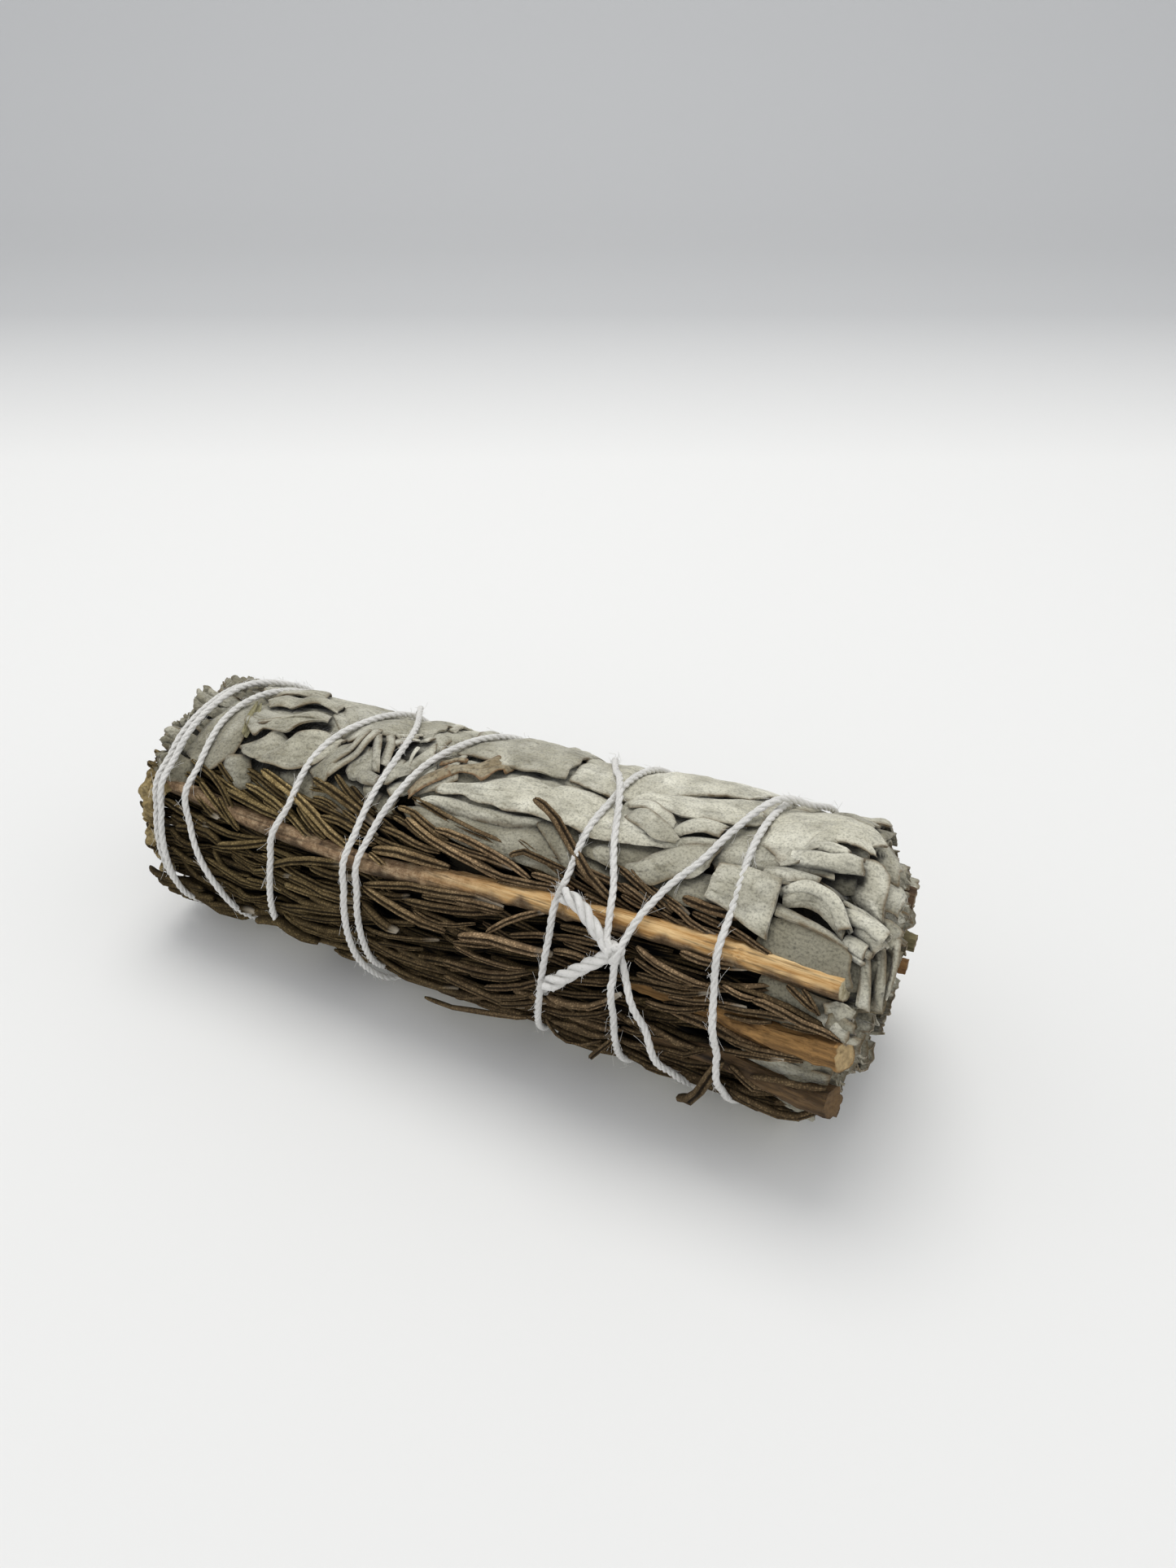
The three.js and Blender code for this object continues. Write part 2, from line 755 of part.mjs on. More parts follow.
const SPRIGS = [
  {
    name: 'rosemary_needles_a',
    top: bedTop,
    bottom: () => SPRIG_EDGES[0],
    rows: 4,
    startX: -43,
    endX: 44,
    stemLine: STEM_A,
    fan: 26,
  },
  {
    name: 'rosemary_needles_b',
    top: () => SPRIG_EDGES[0],
    bottom: () => SPRIG_EDGES[1],
    rows: 3,
    startX: -43,
    endX: 46,
    stemLine: [[-60, 78], [60, 78]],
    fan: 2,
  },
  {
    name: 'rosemary_needles_c',
    top: () => SPRIG_EDGES[1],
    bottom: () => BED_BOTTOM,
    rows: 5,
    startX: -41,
    endX: 46,
    stemLine: [[-60, 112], [60, 104]],
    fan: 9,
  },
];

function stemCentres({ line, buried }) {
  return line.map(([x, around], i) => {
    const depth = STEM_DEPTH + (i === 0 ? buried : 0);
    return place(x, around, bundleRadius(x) - depth);
  });
}

function stemRadii({ line, tipRadius, buttRadius }, extra) {
  const x0 = line[0][0];
  const x1 = line[line.length - 1][0];
  return line.map(([x]) => tipRadius + ((buttRadius - tipRadius) * (x - x0)) / (x1 - x0) + extra);
}

// Stem, or with extra the room it needs, which runs on past its cut end.
function stemRod(stem, extra) {
  const centres = stemCentres(stem);
  if (extra > 0) {
    centres[0].x -= extra;
    centres[centres.length - 1].x += 4;
  }
  return rod(centres, stemRadii(stem, extra), STEM_SIDES);
}

const stemRoom = Manifold.union(STEMS.map((stem) => stemRod(stem, STEM_GAP)));

// ---------- Assembly ----------

const group = new THREE.Group();
group.name = 'sage_bunch';

function addPart(name, shape, color, roughness) {
  const { vertProperties, triVerts, numProp } = shape.getMesh();
  const positions = new Float32Array((vertProperties.length / numProp) * 3);
  for (let i = 0; i < vertProperties.length / numProp; i += 1) {
    for (let k = 0; k < 3; k += 1) positions[i * 3 + k] = vertProperties[i * numProp + k];
  }
  const geometry = new THREE.BufferGeometry();
  geometry.setAttribute('position', new THREE.BufferAttribute(positions, 3));
  geometry.setIndex(Array.from(triVerts));
  geometry.computeVertexNormals();
  const material = new THREE.MeshStandardMaterial({ color, roughness, metalness: 0 });
  const mesh = new THREE.Mesh(geometry, material);
  mesh.name = name;
  group.add(mesh);
}

addPart('sage_leaf_roll', sageRoll(), 0xa3a593, 0.95);

const STUB_COLORS = [0x7d7460, 0x9a6436, 0x5b4a3c, 0x9c947c];
STEM_STUBS.forEach((description, i) => {
  addPart(description.name, stub(description), STUB_COLORS[i], 0.85);
});

for (const description of SPRIGS) {
  const grown = sprig(description);
  const clear = Manifold.difference([grown, stemRoom, room, floorBlock]);
  addPart(description.name, largest(clear.simplify(SIMPLIFY)), 0x5b4c3b, 0.9);
}

for (const stem of STEMS) {
  const cut = largest(stemRod(stem, 0).subtract(room));
  addPart(stem.name, cut, 0xa8743f, 0.8);
}

addPart('cotton_string', cottonString(), 0xf1efe9, 0.95);

export default group;
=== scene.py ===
import math

import bpy
import numpy as np
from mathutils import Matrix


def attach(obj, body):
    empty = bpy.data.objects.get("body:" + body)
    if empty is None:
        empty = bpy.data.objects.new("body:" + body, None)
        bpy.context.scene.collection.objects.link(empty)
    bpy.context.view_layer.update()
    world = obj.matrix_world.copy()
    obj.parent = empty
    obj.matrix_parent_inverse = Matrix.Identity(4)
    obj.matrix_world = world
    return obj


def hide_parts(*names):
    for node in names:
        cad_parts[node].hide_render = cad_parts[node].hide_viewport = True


# The bundle's solids are loaded as the fixed frame. All places below are measured on them,
# in millimetres, and turned into metres when a piece is laid out.
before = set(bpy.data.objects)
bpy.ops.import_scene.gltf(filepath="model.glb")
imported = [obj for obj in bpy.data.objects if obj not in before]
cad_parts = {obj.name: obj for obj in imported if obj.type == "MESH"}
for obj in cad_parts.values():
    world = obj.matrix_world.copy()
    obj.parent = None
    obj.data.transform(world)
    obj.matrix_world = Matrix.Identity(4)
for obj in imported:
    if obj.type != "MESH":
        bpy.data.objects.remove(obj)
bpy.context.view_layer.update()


# ----------------------------------------------------------
# Camera: a short lens close above the cut end, looking down along the bundle, so that the
# cut end looks larger than the tip.

CAMERA_PLACE = (.06359, -.10538, .11648)
CAMERA_AZIMUTH = 26.34
CAMERA_ELEVATION = 34.37
CAMERA_LENS = 26.15

bpy.ops.object.camera_add(
    location=CAMERA_PLACE,
    rotation=(math.radians(90 - CAMERA_ELEVATION), 0, math.radians(CAMERA_AZIMUTH)),
)
camera = bpy.context.object
camera.name = "bundle_camera"
camera.data.sensor_width = 36
camera.data.lens = CAMERA_LENS
camera.data.clip_start = .005
bpy.context.scene.camera = camera


# ----------------------------------------------------------
# Floor: one sheet of matt paper that lies flat under the bundle and sweeps up behind it.
# Light: one wide soft lamp above and a little behind, and pale air all round.

PAPER_WIDTH = 6
PAPER_LENGTH = 4.0
PAPER_FRONT = 1.6
# Painted shade: the paper turns darker from the floor up the far part of the sweep.
PAPER_PAINTED_SHADE = ((.225, (.8, .8, .79, 1)), (.43, (.555, .56, .565, 1)))
SWEEP_BACK = .62
SWEEP_RADIUS = .3
SWEEP_TOP = 1.6
AIR_COLOR = (.97, .98, 1.0, 1)
AIR_STRENGTH = .88
LAMP_PLACE = (-.1, .17, .72)
LAMP_AIM = (0, 0, .01)
LAMP_SIZE = .5
LAMP_POWER = 2.3
LAMP_COLOR = (1.0, .985, .95)


def deselect_all():
    bpy.ops.object.select_all(action="DESELECT")


deselect_all()
bpy.ops.mesh.primitive_grid_add(x_subdivisions=2, y_subdivisions=60, size=1, location=(0, 0, 0))
paper = bpy.context.object
paper.name = "paper_sweep"
for vertex in paper.data.vertices:
    side = vertex.co.x * PAPER_WIDTH
    run = (vertex.co.y + .5) * PAPER_LENGTH - PAPER_FRONT
    bend = run - SWEEP_BACK
    if bend <= 0:
        vertex.co = (side, run, 0)
    elif bend < SWEEP_RADIUS * math.pi / 2:
        turn = bend / SWEEP_RADIUS
        vertex.co = (side, SWEEP_BACK + SWEEP_RADIUS * math.sin(turn),
                     SWEEP_RADIUS * (1 - math.cos(turn)))
    else:
        rise = bend - SWEEP_RADIUS * math.pi / 2
        vertex.co = (side, SWEEP_BACK + SWEEP_RADIUS, SWEEP_RADIUS + min(rise, SWEEP_TOP))
bpy.ops.object.shade_smooth()
paper.rotation_euler = (0, 0, math.radians(CAMERA_AZIMUTH))
paper_finish = bpy.data.materials.new("matt_paper")
paper_finish.use_nodes = True
paper_shader = paper_finish.node_tree.nodes["Principled BSDF"]
paper_nodes = paper_finish.node_tree
paper_place = paper_nodes.nodes.new("ShaderNodeTexCoord")
paper_split = paper_nodes.nodes.new("ShaderNodeSeparateXYZ")
# The ramp over the paper's depth paints the shade up the sweep.
paper_shade_ramp = paper_nodes.nodes.new("ShaderNodeValToRGB")
paper_nodes.links.new(paper_place.outputs["Object"], paper_split.inputs[0])
paper_nodes.links.new(paper_split.outputs["Y"], paper_shade_ramp.inputs["Fac"])
paper_nodes.links.new(paper_shade_ramp.outputs["Color"], paper_shader.inputs["Base Color"])
for element, (position, color) in zip(paper_shade_ramp.color_ramp.elements, PAPER_PAINTED_SHADE):
    element.position = position
    element.color = color
paper_shader.inputs["Roughness"].default_value = .9
paper_shader.inputs["Specular IOR Level"].default_value = .15
paper.data.materials.append(paper_finish)

air = bpy.data.worlds.new("pale_air")
air.use_nodes = True
air.node_tree.nodes["Background"].inputs["Color"].default_value = AIR_COLOR
air.node_tree.nodes["Background"].inputs["Strength"].default_value = AIR_STRENGTH
bpy.context.scene.world = air
bpy.context.scene.view_settings.view_transform = "Standard"

bpy.ops.object.light_add(type="AREA", location=LAMP_PLACE)
lamp = bpy.context.object
lamp.name = "high_lamp"
away = np.array(LAMP_PLACE) - np.array(LAMP_AIM)
lamp.rotation_euler = (math.atan2(math.hypot(away[0], away[1]), away[2]), 0,
                       math.atan2(away[0], -away[1]))
lamp.data.shape = "DISK"
lamp.data.size = LAMP_SIZE
lamp.data.energy = LAMP_POWER
lamp.data.color = LAMP_COLOR


# ----------------------------------------------------------
# Heart of the roll: the pressed inner leaves that only show as dark hollows between the
# outer ones. It is a crumpled mass, drawn in a little wherever the string runs over it.
# Points on the bundle are (x along, degrees around from the top over the front, out).

MM = .001
HALF_LENGTH = 52.0
TIP_RADIUS = 16.8
BUTT_RADIUS = 19.2
MEAN_RADIUS = 17.5
PRESSED_FLAT = .6
FLOOR_GAP = .03
TIP_CURL_FROM = -47.5
BUTT_CURL_FROM = 45.5
PINCH_DEPTH = .75
PINCH_REACH = 2.3
HEART_FROM = -46
HEART_SPAN = 92
HEART_CLOSING = 42.5
HEART_DEPTH = 2.7
HEART_DEPTH_UNDER_NEEDLES = 3.1
# The line where the sage leaves end and the needles begin, as x and degrees around.
BED_TOP = (
    (-56, -35, -22, -3, 7, 15, 35, 44, 56),
    (38, 37, 33, 26, 29, 35, 38, 44, 55),
)
BED_BOTTOM = 142

# One continuous winding of ten turns, as (degrees around in all, x).
STRING_ROUTE = np.array([
    (63, 23.9), (70, 25.2), (87, 28), (107, 30.8), (125, 33),
    (180, 34.8), (270, 35.6),
    (341, 35.2), (359, 34.7), (373, 34.6), (392, 35), (421, 35.4), (446, 37.1), (476, 38),
    (540, 38.6), (630, 38.4),
    (700, 37), (714, 33.4), (728, 31.5), (744, 29.6), (756, 27.1), (770, 25.1), (783, 24),
    (798, 24.1), (829, 24.2), (900, 22.5), (990, 19.5),
    (1055, 16.5), (1075, 16), (1088, 15.8), (1101, 15.1), (1120, 15), (1138, 14.8),
    (1169, 14.2), (1201, 12.4), (1260, 8), (1350, -1),
    (1412, -5.6), (1432, -7.7), (1453, -10.2), (1473, -11.8), (1494, -13.1), (1515, -13.1),
    (1545, -12.8), (1569, -13.4), (1640, -17), (1710, -21),
    (1796, -24), (1806, -25.1), (1823, -26.2), (1847, -26.4), (1865, -27.3), (1881, -27.6),
    (1911, -28.9), (1980, -33), (2070, -38),
    (2125, -40.8), (2157, -43.1), (2174, -43.6), (2196, -43.1), (2218, -42.7), (2227, -42),
    (2243, -40.2), (2260, -37.8), (2340, -38.5), (2430, -43),
    (2486, -46.4), (2506, -47.9), (2527, -48.1), (2550, -48.5), (2568, -48.4), (2588, -48.2),
    (2609, -47.6), (2700, -46.5), (2790, -45.5),
    (2846, -44.6), (2866, -46.2), (2887, -46.5), (2910, -46.9), (2928, -46.8), (2948, -46.6),
    (2969, -46), (3060, -45.2), (3100, -44), (3150, -34), (3200, -22),
    (3238, -15.5), (3252, -14.7), (3275, -14.8), (3295, -14.7), (3326, -14.6), (3350, -14.4),
    (3369, -13.8), (3395, -11), (3440, -6), (3510, 4),
    (3585, 13), (3607, 16.9), (3624, 18.7), (3644, 21.2), (3659, 22.4),
])


def bundle_radius(x):
    return TIP_RADIUS + (BUTT_RADIUS - TIP_RADIUS) * (x + HALF_LENGTH) / (2 * HALF_LENGTH)


def on_bundle(x, around, out):
    x, around, out = np.broadcast_arrays(x, around, out)
    angle = np.radians(around)
    height = bundle_radius(x) - PRESSED_FLAT + out * np.cos(angle)
    return np.stack([x, -out * np.sin(angle), np.maximum(height, FLOOR_GAP)], axis=-1) * MM


def smooth_run(stops, values, at):
    """Values of a run of stops at the places asked for, rounded through each stop."""
    slopes = np.gradient(values, stops, axis=0)
    k = np.clip(np.searchsorted(stops, at, side="right") - 1, 0, len(stops) - 2)
    span = stops[k + 1] - stops[k]
    t = np.clip((at - stops[k]) / span, 0, 1)
    if np.ndim(values) > 1:
        t, span = t[:, None], span[:, None]
    return ((2 * t**3 - 3 * t**2 + 1) * values[k] + (t**3 - 2 * t**2 + t) * span * slopes[k]
            + (3 * t**2 - 2 * t**3) * values[k + 1] + (t**3 - t**2) * span * slopes[k + 1])


route_around = np.arange(STRING_ROUTE[0, 0], STRING_ROUTE[-1, 0] + .1, 2.0)
route_x = smooth_run(STRING_ROUTE[:, 0], STRING_ROUTE[:, 1], route_around)

# Distance to the nearest turn of string over the whole bundle, looked up later.
NET_STEP = .4
NET_TURN = 1.5
NET_X = np.arange(-56, 56.1, NET_STEP)
NET_AROUND = np.arange(0, 360, NET_TURN)
FAR_OFF = 99.0


def turn_between(a, b):
    return (a - b + 180) % 360 - 180


net_gap = np.full((len(NET_X), len(NET_AROUND)), FAR_OFF)
for string_x, string_around in zip(route_x, route_around):
    near = np.abs(NET_X - string_x) < 3 * PINCH_REACH
    arc = np.radians(turn_between(NET_AROUND, string_around)) * bundle_radius(string_x)
    gap = np.hypot((NET_X[near] - string_x)[:, None], arc[None, :])
    net_gap[near] = np.minimum(net_gap[near], gap)


def string_gap(x, around):
    i = np.clip((np.asarray(x) - NET_X[0]) / NET_STEP, 0, len(NET_X) - 1.001)
    j = (np.asarray(around) % 360) / NET_TURN
    i0, j0 = i.astype(int), j.astype(int) % len(NET_AROUND)
    fi, fj = i - i0, j - j.astype(int)
    j1 = (j0 + 1) % len(NET_AROUND)
    return ((net_gap[i0, j0] * (1 - fj) + net_gap[i0, j1] * fj) * (1 - fi)
            + (net_gap[i0 + 1, j0] * (1 - fj) + net_gap[i0 + 1, j1] * fj) * fi)


def skin(x, around):
    """How far out the bundle's surface lies: drawn in under the string and at both ends."""
    curl = (.12 * np.maximum(0, TIP_CURL_FROM - x) ** 2
            + .1 * np.maximum(0, x - BUTT_CURL_FROM) ** 1.5)
    pinch = PINCH_DEPTH * np.exp(-((string_gap(x, around) / PINCH_REACH) ** 2))
    return bundle_radius(x) - pinch - curl


def swell(rng, along, across, size):
    """Uneven waves of about one size over a sheet, between about -1.5 and 1.5."""
    total = 0
    for _ in range(6):
        heading = rng.uniform(0, math.pi)
        length = size * rng.uniform(.7, 1.6)
        run = along * math.cos(heading) + across * math.sin(heading)
        total = total + np.sin(run * 2 * math.pi / length + rng.uniform(0, 6.28))
    return total / 2.5


def read_points(piece):
    points = np.empty(len(piece.data.vertices) * 3, np.float32)
    piece.data.vertices.foreach_get("co", points)
    return points.reshape(-1, 3).astype(float)


def set_points(piece, points):
    piece.data.vertices.foreach_set("co", np.asarray(points, np.float32).ravel())
    piece.data.update()


def mark_points(piece, name, values):
    """Keeps a number for each point, for the finish to read."""
    layer = piece.data.attributes.new(name, "FLOAT", "POINT")
    layer.data.foreach_set("value", np.broadcast_to(
        np.asarray(values, np.float32), (len(piece.data.vertices),)).copy())


def coat(piece, finish):
    piece.data.materials.clear()
    piece.data.materials.append(finish.material)


def join_pieces(pieces, name):
    deselect_all()
    for piece in pieces:
        piece.select_set(True)
    bpy.context.view_layer.objects.active = pieces[0]
    bpy.ops.object.join()
    joined = bpy.context.object
    joined.name = name
    joined.data.name = name
    return joined


class Finish:
    """A material made of a few noises, read at the object's own coordinates."""

    def __init__(self, name, roughness, sheen=0):
        self.material = bpy.data.materials.new(name)
        self.material.use_nodes = True
        self.tree = self.material.node_tree
        self.shader = self.tree.nodes["Principled BSDF"]
        self.shader.inputs["Roughness"].default_value = roughness
        self.shader.inputs["Specular IOR Level"].default_value = .25
        if sheen:
            self.shader.inputs["Sheen Weight"].default_value = sheen
            self.shader.inputs["Sheen Roughness"].default_value = .5
        self.place = self.tree.nodes.new("ShaderNodeTexCoord").outputs["Object"]

    def stretched(self, scale, turn=(0, 0, 0)):
        node = self.tree.nodes.new("ShaderNodeMapping")
        node.inputs["Scale"].default_value = scale
        node.inputs["Rotation"].default_value = turn
        self.tree.links.new(self.place, node.inputs["Vector"])
        return node.outputs["Vector"]

    def noise(self, scale, detail=4.0, rough=.55, place=None):
        node = self.tree.nodes.new("ShaderNodeTexNoise")
        node.inputs["Scale"].default_value = scale
        node.inputs["Detail"].default_value = detail
        node.inputs["Roughness"].default_value = rough
        self.tree.links.new(place or self.place, node.inputs["Vector"])
        return node.outputs["Fac"]

    def cells(self, scale, feature="SMOOTH_F1"):
        node = self.tree.nodes.new("ShaderNodeTexVoronoi")
        node.feature = feature
        node.inputs["Scale"].default_value = scale
        self.tree.links.new(self.place, node.inputs["Vector"])
        return node.outputs["Distance"]

    def lengthwise(self, start, end):
        """Grows from 0 to 1 between two places along the bundle, in metres."""
        split = self.tree.nodes.new("ShaderNodeSeparateXYZ")
        self.tree.links.new(self.place, split.inputs[0])
        share = self.tree.nodes.new("ShaderNodeMapRange")
        share.inputs["From Min"].default_value = start
        share.inputs["From Max"].default_value = end
        self.tree.links.new(split.outputs["X"], share.inputs["Value"])
        return share.outputs["Result"]

    def marked(self, name):
        node = self.tree.nodes.new("ShaderNodeAttribute")
        node.attribute_name = name
        return node.outputs["Fac"]

    def ramp(self, value, *stops):
        node = self.tree.nodes.new("ShaderNodeValToRGB")
        elements = node.color_ramp.elements
        while len(elements) < len(stops):
            elements.new(.5)
        for element, (position, color) in zip(elements, stops):
            element.position = position
            shade = color if isinstance(color, tuple) else (color, color, color)
            element.color = (*shade, 1)
        self.tree.links.new(value, node.inputs["Fac"])
        return node.outputs["Color"]

    def mix(self, a, b, share=1.0, how="MIX"):
        node = self.tree.nodes.new("ShaderNodeMix")
        node.data_type = "RGBA"
        node.blend_type = how
        for socket, value in ((node.inputs[0], share), (node.inputs[6], a), (node.inputs[7], b)):
            if isinstance(value, tuple):
                socket.default_value = (*value, 1)
            elif isinstance(value, (int, float)):
                socket.default_value = value
            else:
                self.tree.links.new(value, socket)
        return node.outputs[2]

    def shaded(self, tone, value, share, *stops):
        """A tone darkened or lightened by a ramp over a value."""
        return self.mix(tone, self.ramp(value, *stops), share, "MULTIPLY")

    def color(self, value):
        self.tree.links.new(value, self.shader.inputs["Base Color"])

    def bump(self, height, distance, strength=1.0, under=None):
        node = self.tree.nodes.new("ShaderNodeBump")
        node.inputs["Distance"].default_value = distance
        node.inputs["Strength"].default_value = strength
        self.tree.links.new(height, node.inputs["Height"])
        if under is not None:
            self.tree.links.new(under, node.inputs["Normal"])
        self.tree.links.new(node.outputs["Normal"], self.shader.inputs["Normal"])
        return node.outputs["Normal"]


# The inner leaves are painted near black: painted shade of the hollows between the outer leaves.
shade_finish = Finish("shaded_inner_leaf", .95)
shade_finish.color(shade_finish.ramp(
    shade_finish.noise(420, 5),
    (.3, (.012, .01, .006)), (.75, (.045, .039, .025)),
))
shade_finish.bump(shade_finish.noise(600, 4), .0006)

deselect_all()
bpy.ops.mesh.primitive_grid_add(x_subdivisions=110, y_subdivisions=120, size=1)
heart = bpy.context.object
heart_rng = np.random.default_rng(11)
points = read_points(heart)
x = HEART_FROM + (points[:, 0] + .5) * HEART_SPAN
around = (points[:, 1] + .5) * 360
bed = np.interp(x, *BED_TOP)
under_needles = (1 / (1 + np.exp(-(around - bed) / 1.5))
                 / (1 + np.exp((around - BED_BOTTOM) / 1.5)))
depth = HEART_DEPTH + (HEART_DEPTH_UNDER_NEEDLES - HEART_DEPTH) * under_needles
closing = np.maximum(0, np.abs(x) - HEART_CLOSING)
turned = np.radians(around)
lumps = (swell(heart_rng, x, 17 * np.cos(turned), 7)
         + swell(heart_rng, x, 17 * np.sin(turned), 7))
out = skin(x, around) - depth + .3 * lumps - .55 * closing**1.5
set_points(heart, on_bundle(x, around, out))
bpy.ops.object.mode_set(mode="EDIT")
bpy.ops.mesh.select_all(action="SELECT")
bpy.ops.mesh.remove_doubles(threshold=.00002)
bpy.ops.mesh.select_all(action="DESELECT")
bpy.ops.mesh.select_non_manifold()
bpy.ops.mesh.edge_face_add()
bpy.ops.mesh.select_all(action="SELECT")
bpy.ops.mesh.normals_make_consistent(inside=False)
bpy.ops.object.mode_set(mode="OBJECT")
bpy.ops.object.shade_smooth()
heart.name = heart.data.name = "sage_heart"
coat(heart, shade_finish)
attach(heart, "root")
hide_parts("sage_leaf_roll")


# ----------------------------------------------------------
# Outer sage leaves: long felted leaves pressed flat against the roll, one over the other,
# with their rims turned down or standing off. Those on top are laid one by one; the under
# layer and the back are laid in rows.

LEAF_THICKNESS = .28
SHARP_LEAF_ANGLE = 50

felt = Finish("felted_sage_leaf", .95, sheen=.2)
leaf_broad = felt.ramp(
    felt.noise(110, 3),
    (.3, (.46, .44, .345)), (.5, (.61, .59, .485)), (.68, (.77, .755, .65)),
)
# The tint of each point sets how far the leaf is darkened: partly its own tone, partly painted shade.
leaf_dark = felt.mix(leaf_broad, (.16, .145, .095), .85)
leaf_tone = felt.mix(leaf_dark, leaf_broad, felt.marked("tint"))
leaf_grain = felt.noise(3400, 4, .65)
leaf_tone = felt.shaded(leaf_tone, leaf_grain, .68, (.37, .48), (.52, 1.0))
leaf_veins = felt.noise(620, 5, .62, felt.stretched((.35, 1, 1), (0, 0, .3)))
leaf_tone = felt.shaded(leaf_tone, leaf_veins, .6, (.32, .55), (.5, 1.0))
leaf_specks = felt.cells(420, "F1")
leaf_tone = felt.shaded(leaf_tone, leaf_specks, .6, (.045, .25), (.1, 1.0))
# The rims darken to brown: partly real browning of the dry edges, partly painted shadow lines under the
# rims.
leaf_brown_rim_and_shade = felt.shaded(felt.marked("edge_band"), felt.noise(260, 4), 1.0,
                         (.4, .15), (.56, 1.0))
leaf_tone = felt.mix(leaf_tone, (.13, .095, .05), leaf_brown_rim_and_shade)
# Painted shade in the hollows between the leaves, and a little painted light on the points that stand
# proud.
felt.color(felt.shaded(leaf_tone, felt.marked("hollow"), 1.0,
                       (0, 1.14), (.22, 1.0), (.45, .48), (.85, .06)))
leaf_felt = felt.bump(felt.cells(2300), .0003, .8)
felt.bump(leaf_veins, .0006, .8, under=leaf_felt)


def leaf_sheet(rows, cols):
    deselect_all()
    bpy.ops.mesh.primitive_grid_add(x_subdivisions=rows, y_subdivisions=cols, size=1)
    sheet = bpy.context.object
    flat = read_points(sheet)
    return sheet, flat[:, 0] + .5, flat[:, 1] + .5


def thicken(sheet, thickness, finish):
    wall = sheet.modifiers.new("wall", "SOLIDIFY")
    wall.thickness = thickness * MM
    wall.offset = -1
    bpy.ops.object.modifier_apply(modifier=wall.name)
    coat(sheet, finish)
    bpy.ops.object.shade_smooth_by_angle(angle=math.radians(SHARP_LEAF_ANGLE))


leaf_rng = np.random.default_rng(23)
# Size of a leaf's faces in mm, along it and across.
LEAF_MESH = (.55, .36)


def leaf(edges, bulge=.25, rim=.12, crumple=.09, ragged=.14, tint=.8, rows=None,
         cols=None, crease=0, flare=0, frill=0, wrinkle=.13,
         thickness=LEAF_THICKNESS, finish=felt):
    """A leaf between two edges. Each row of edges is one station from tip to base:
    x, degrees and height of the upper edge, then the same for the lower edge."""
    edges = np.array(edges, float)
    length = np.hypot(edges[-1, 0] - edges[0, 0], .3 * (edges[-1, 1] - edges[0, 1])) + .5
    mid = edges[len(edges) // 2]
    width = math.hypot(mid[3] - mid[0], .31 * (mid[4] - mid[1])) + .3
    rows = rows or int(np.clip(length / LEAF_MESH[0], 20, 90))
    cols = cols or int(np.clip(width / LEAF_MESH[1], 12, 40))
    sheet, u, v = leaf_sheet(rows, cols)
    runs = smooth_run(np.linspace(0, 1, len(edges)), edges, u)
    upper, lower = runs[:, :3], runs[:, 3:]
    laid = upper + (lower - upper) * v[:, None]
    s, t = u * length, v * width
    x, around, out = laid.T
    rip = swell(leaf_rng, s, 0 * t, 4.5) + .25 * swell(leaf_rng, s, 0 * t, 1.5)
    edge_pull = (np.exp(-v * width / 1.2) - np.exp(-(1 - v) * width / 1.2)) * ragged
    around = around + rip * edge_pull * 3.2
    end_rip = swell(leaf_rng, t, 0 * s, 3.6) + .3 * swell(leaf_rng, t, 0 * s, 1.4)
    end_pull = (np.exp(-u * length / 1.6) - np.exp(-(1 - u) * length / 1.6)) * ragged
    x = x + end_rip * end_pull * 1.3
    across = 2 * v - 1
    near_rim = np.minimum.reduce([v * width, (1 - v) * width, u * length, (1 - u) * length])
    out = out + bulge * (1 - across**2) - rim * np.exp(-near_rim / .4)
    out = out + crumple * (swell(leaf_rng, s, t, 8.0) + .5 * swell(leaf_rng, s, t, 3.0))
    furrows = np.abs(swell(leaf_rng, .25 * s, t, 2.4))
    out = out + wrinkle * (np.minimum(furrows, .8) - .5) * np.minimum(1, near_rim / .6)
    out = out + .12 * flare * np.maximum(0, TIP_CURL_FROM - x) ** 2
    if frill:
        waves = 2 * math.pi * v * width / 1.7 + leaf_rng.uniform(0, 6.28)
        waves = waves + 1.5 * swell(leaf_rng, s, t, 3)
        out = out + frill * np.clip(1.3 * (1 - u) - .2, 0, 1) * np.sin(waves)
    if crease:
        fold = swell(leaf_rng, t + .18 * s, 0 * s, 4.2)
        out = out - crease * np.exp(-(fold / .22) ** 2)
    set_points(sheet, on_bundle(x, around, skin(x, around) + out))
    # Painted shade: each leaf is darker along the bottoms of its wrinkles.
    tone = tint + .15 * swell(leaf_rng, s, t, 5.0) - .45 * np.exp(-furrows / .1)
    # Painted shade: darker over the front, which turns away from the lamp, and towards the tip end.
    tone = tone - .36 * np.clip((around - 5) / 28, 0, 1) - .18 * np.clip((-20 - x) / 15, 0, 1)
    mark_points(sheet, "tint", np.clip(tone, 0, 1))
    mark_points(sheet, "edge_band", np.clip(.95 - near_rim / .5, 0, 1))
    thicken(sheet, thickness, finish)
    return sheet
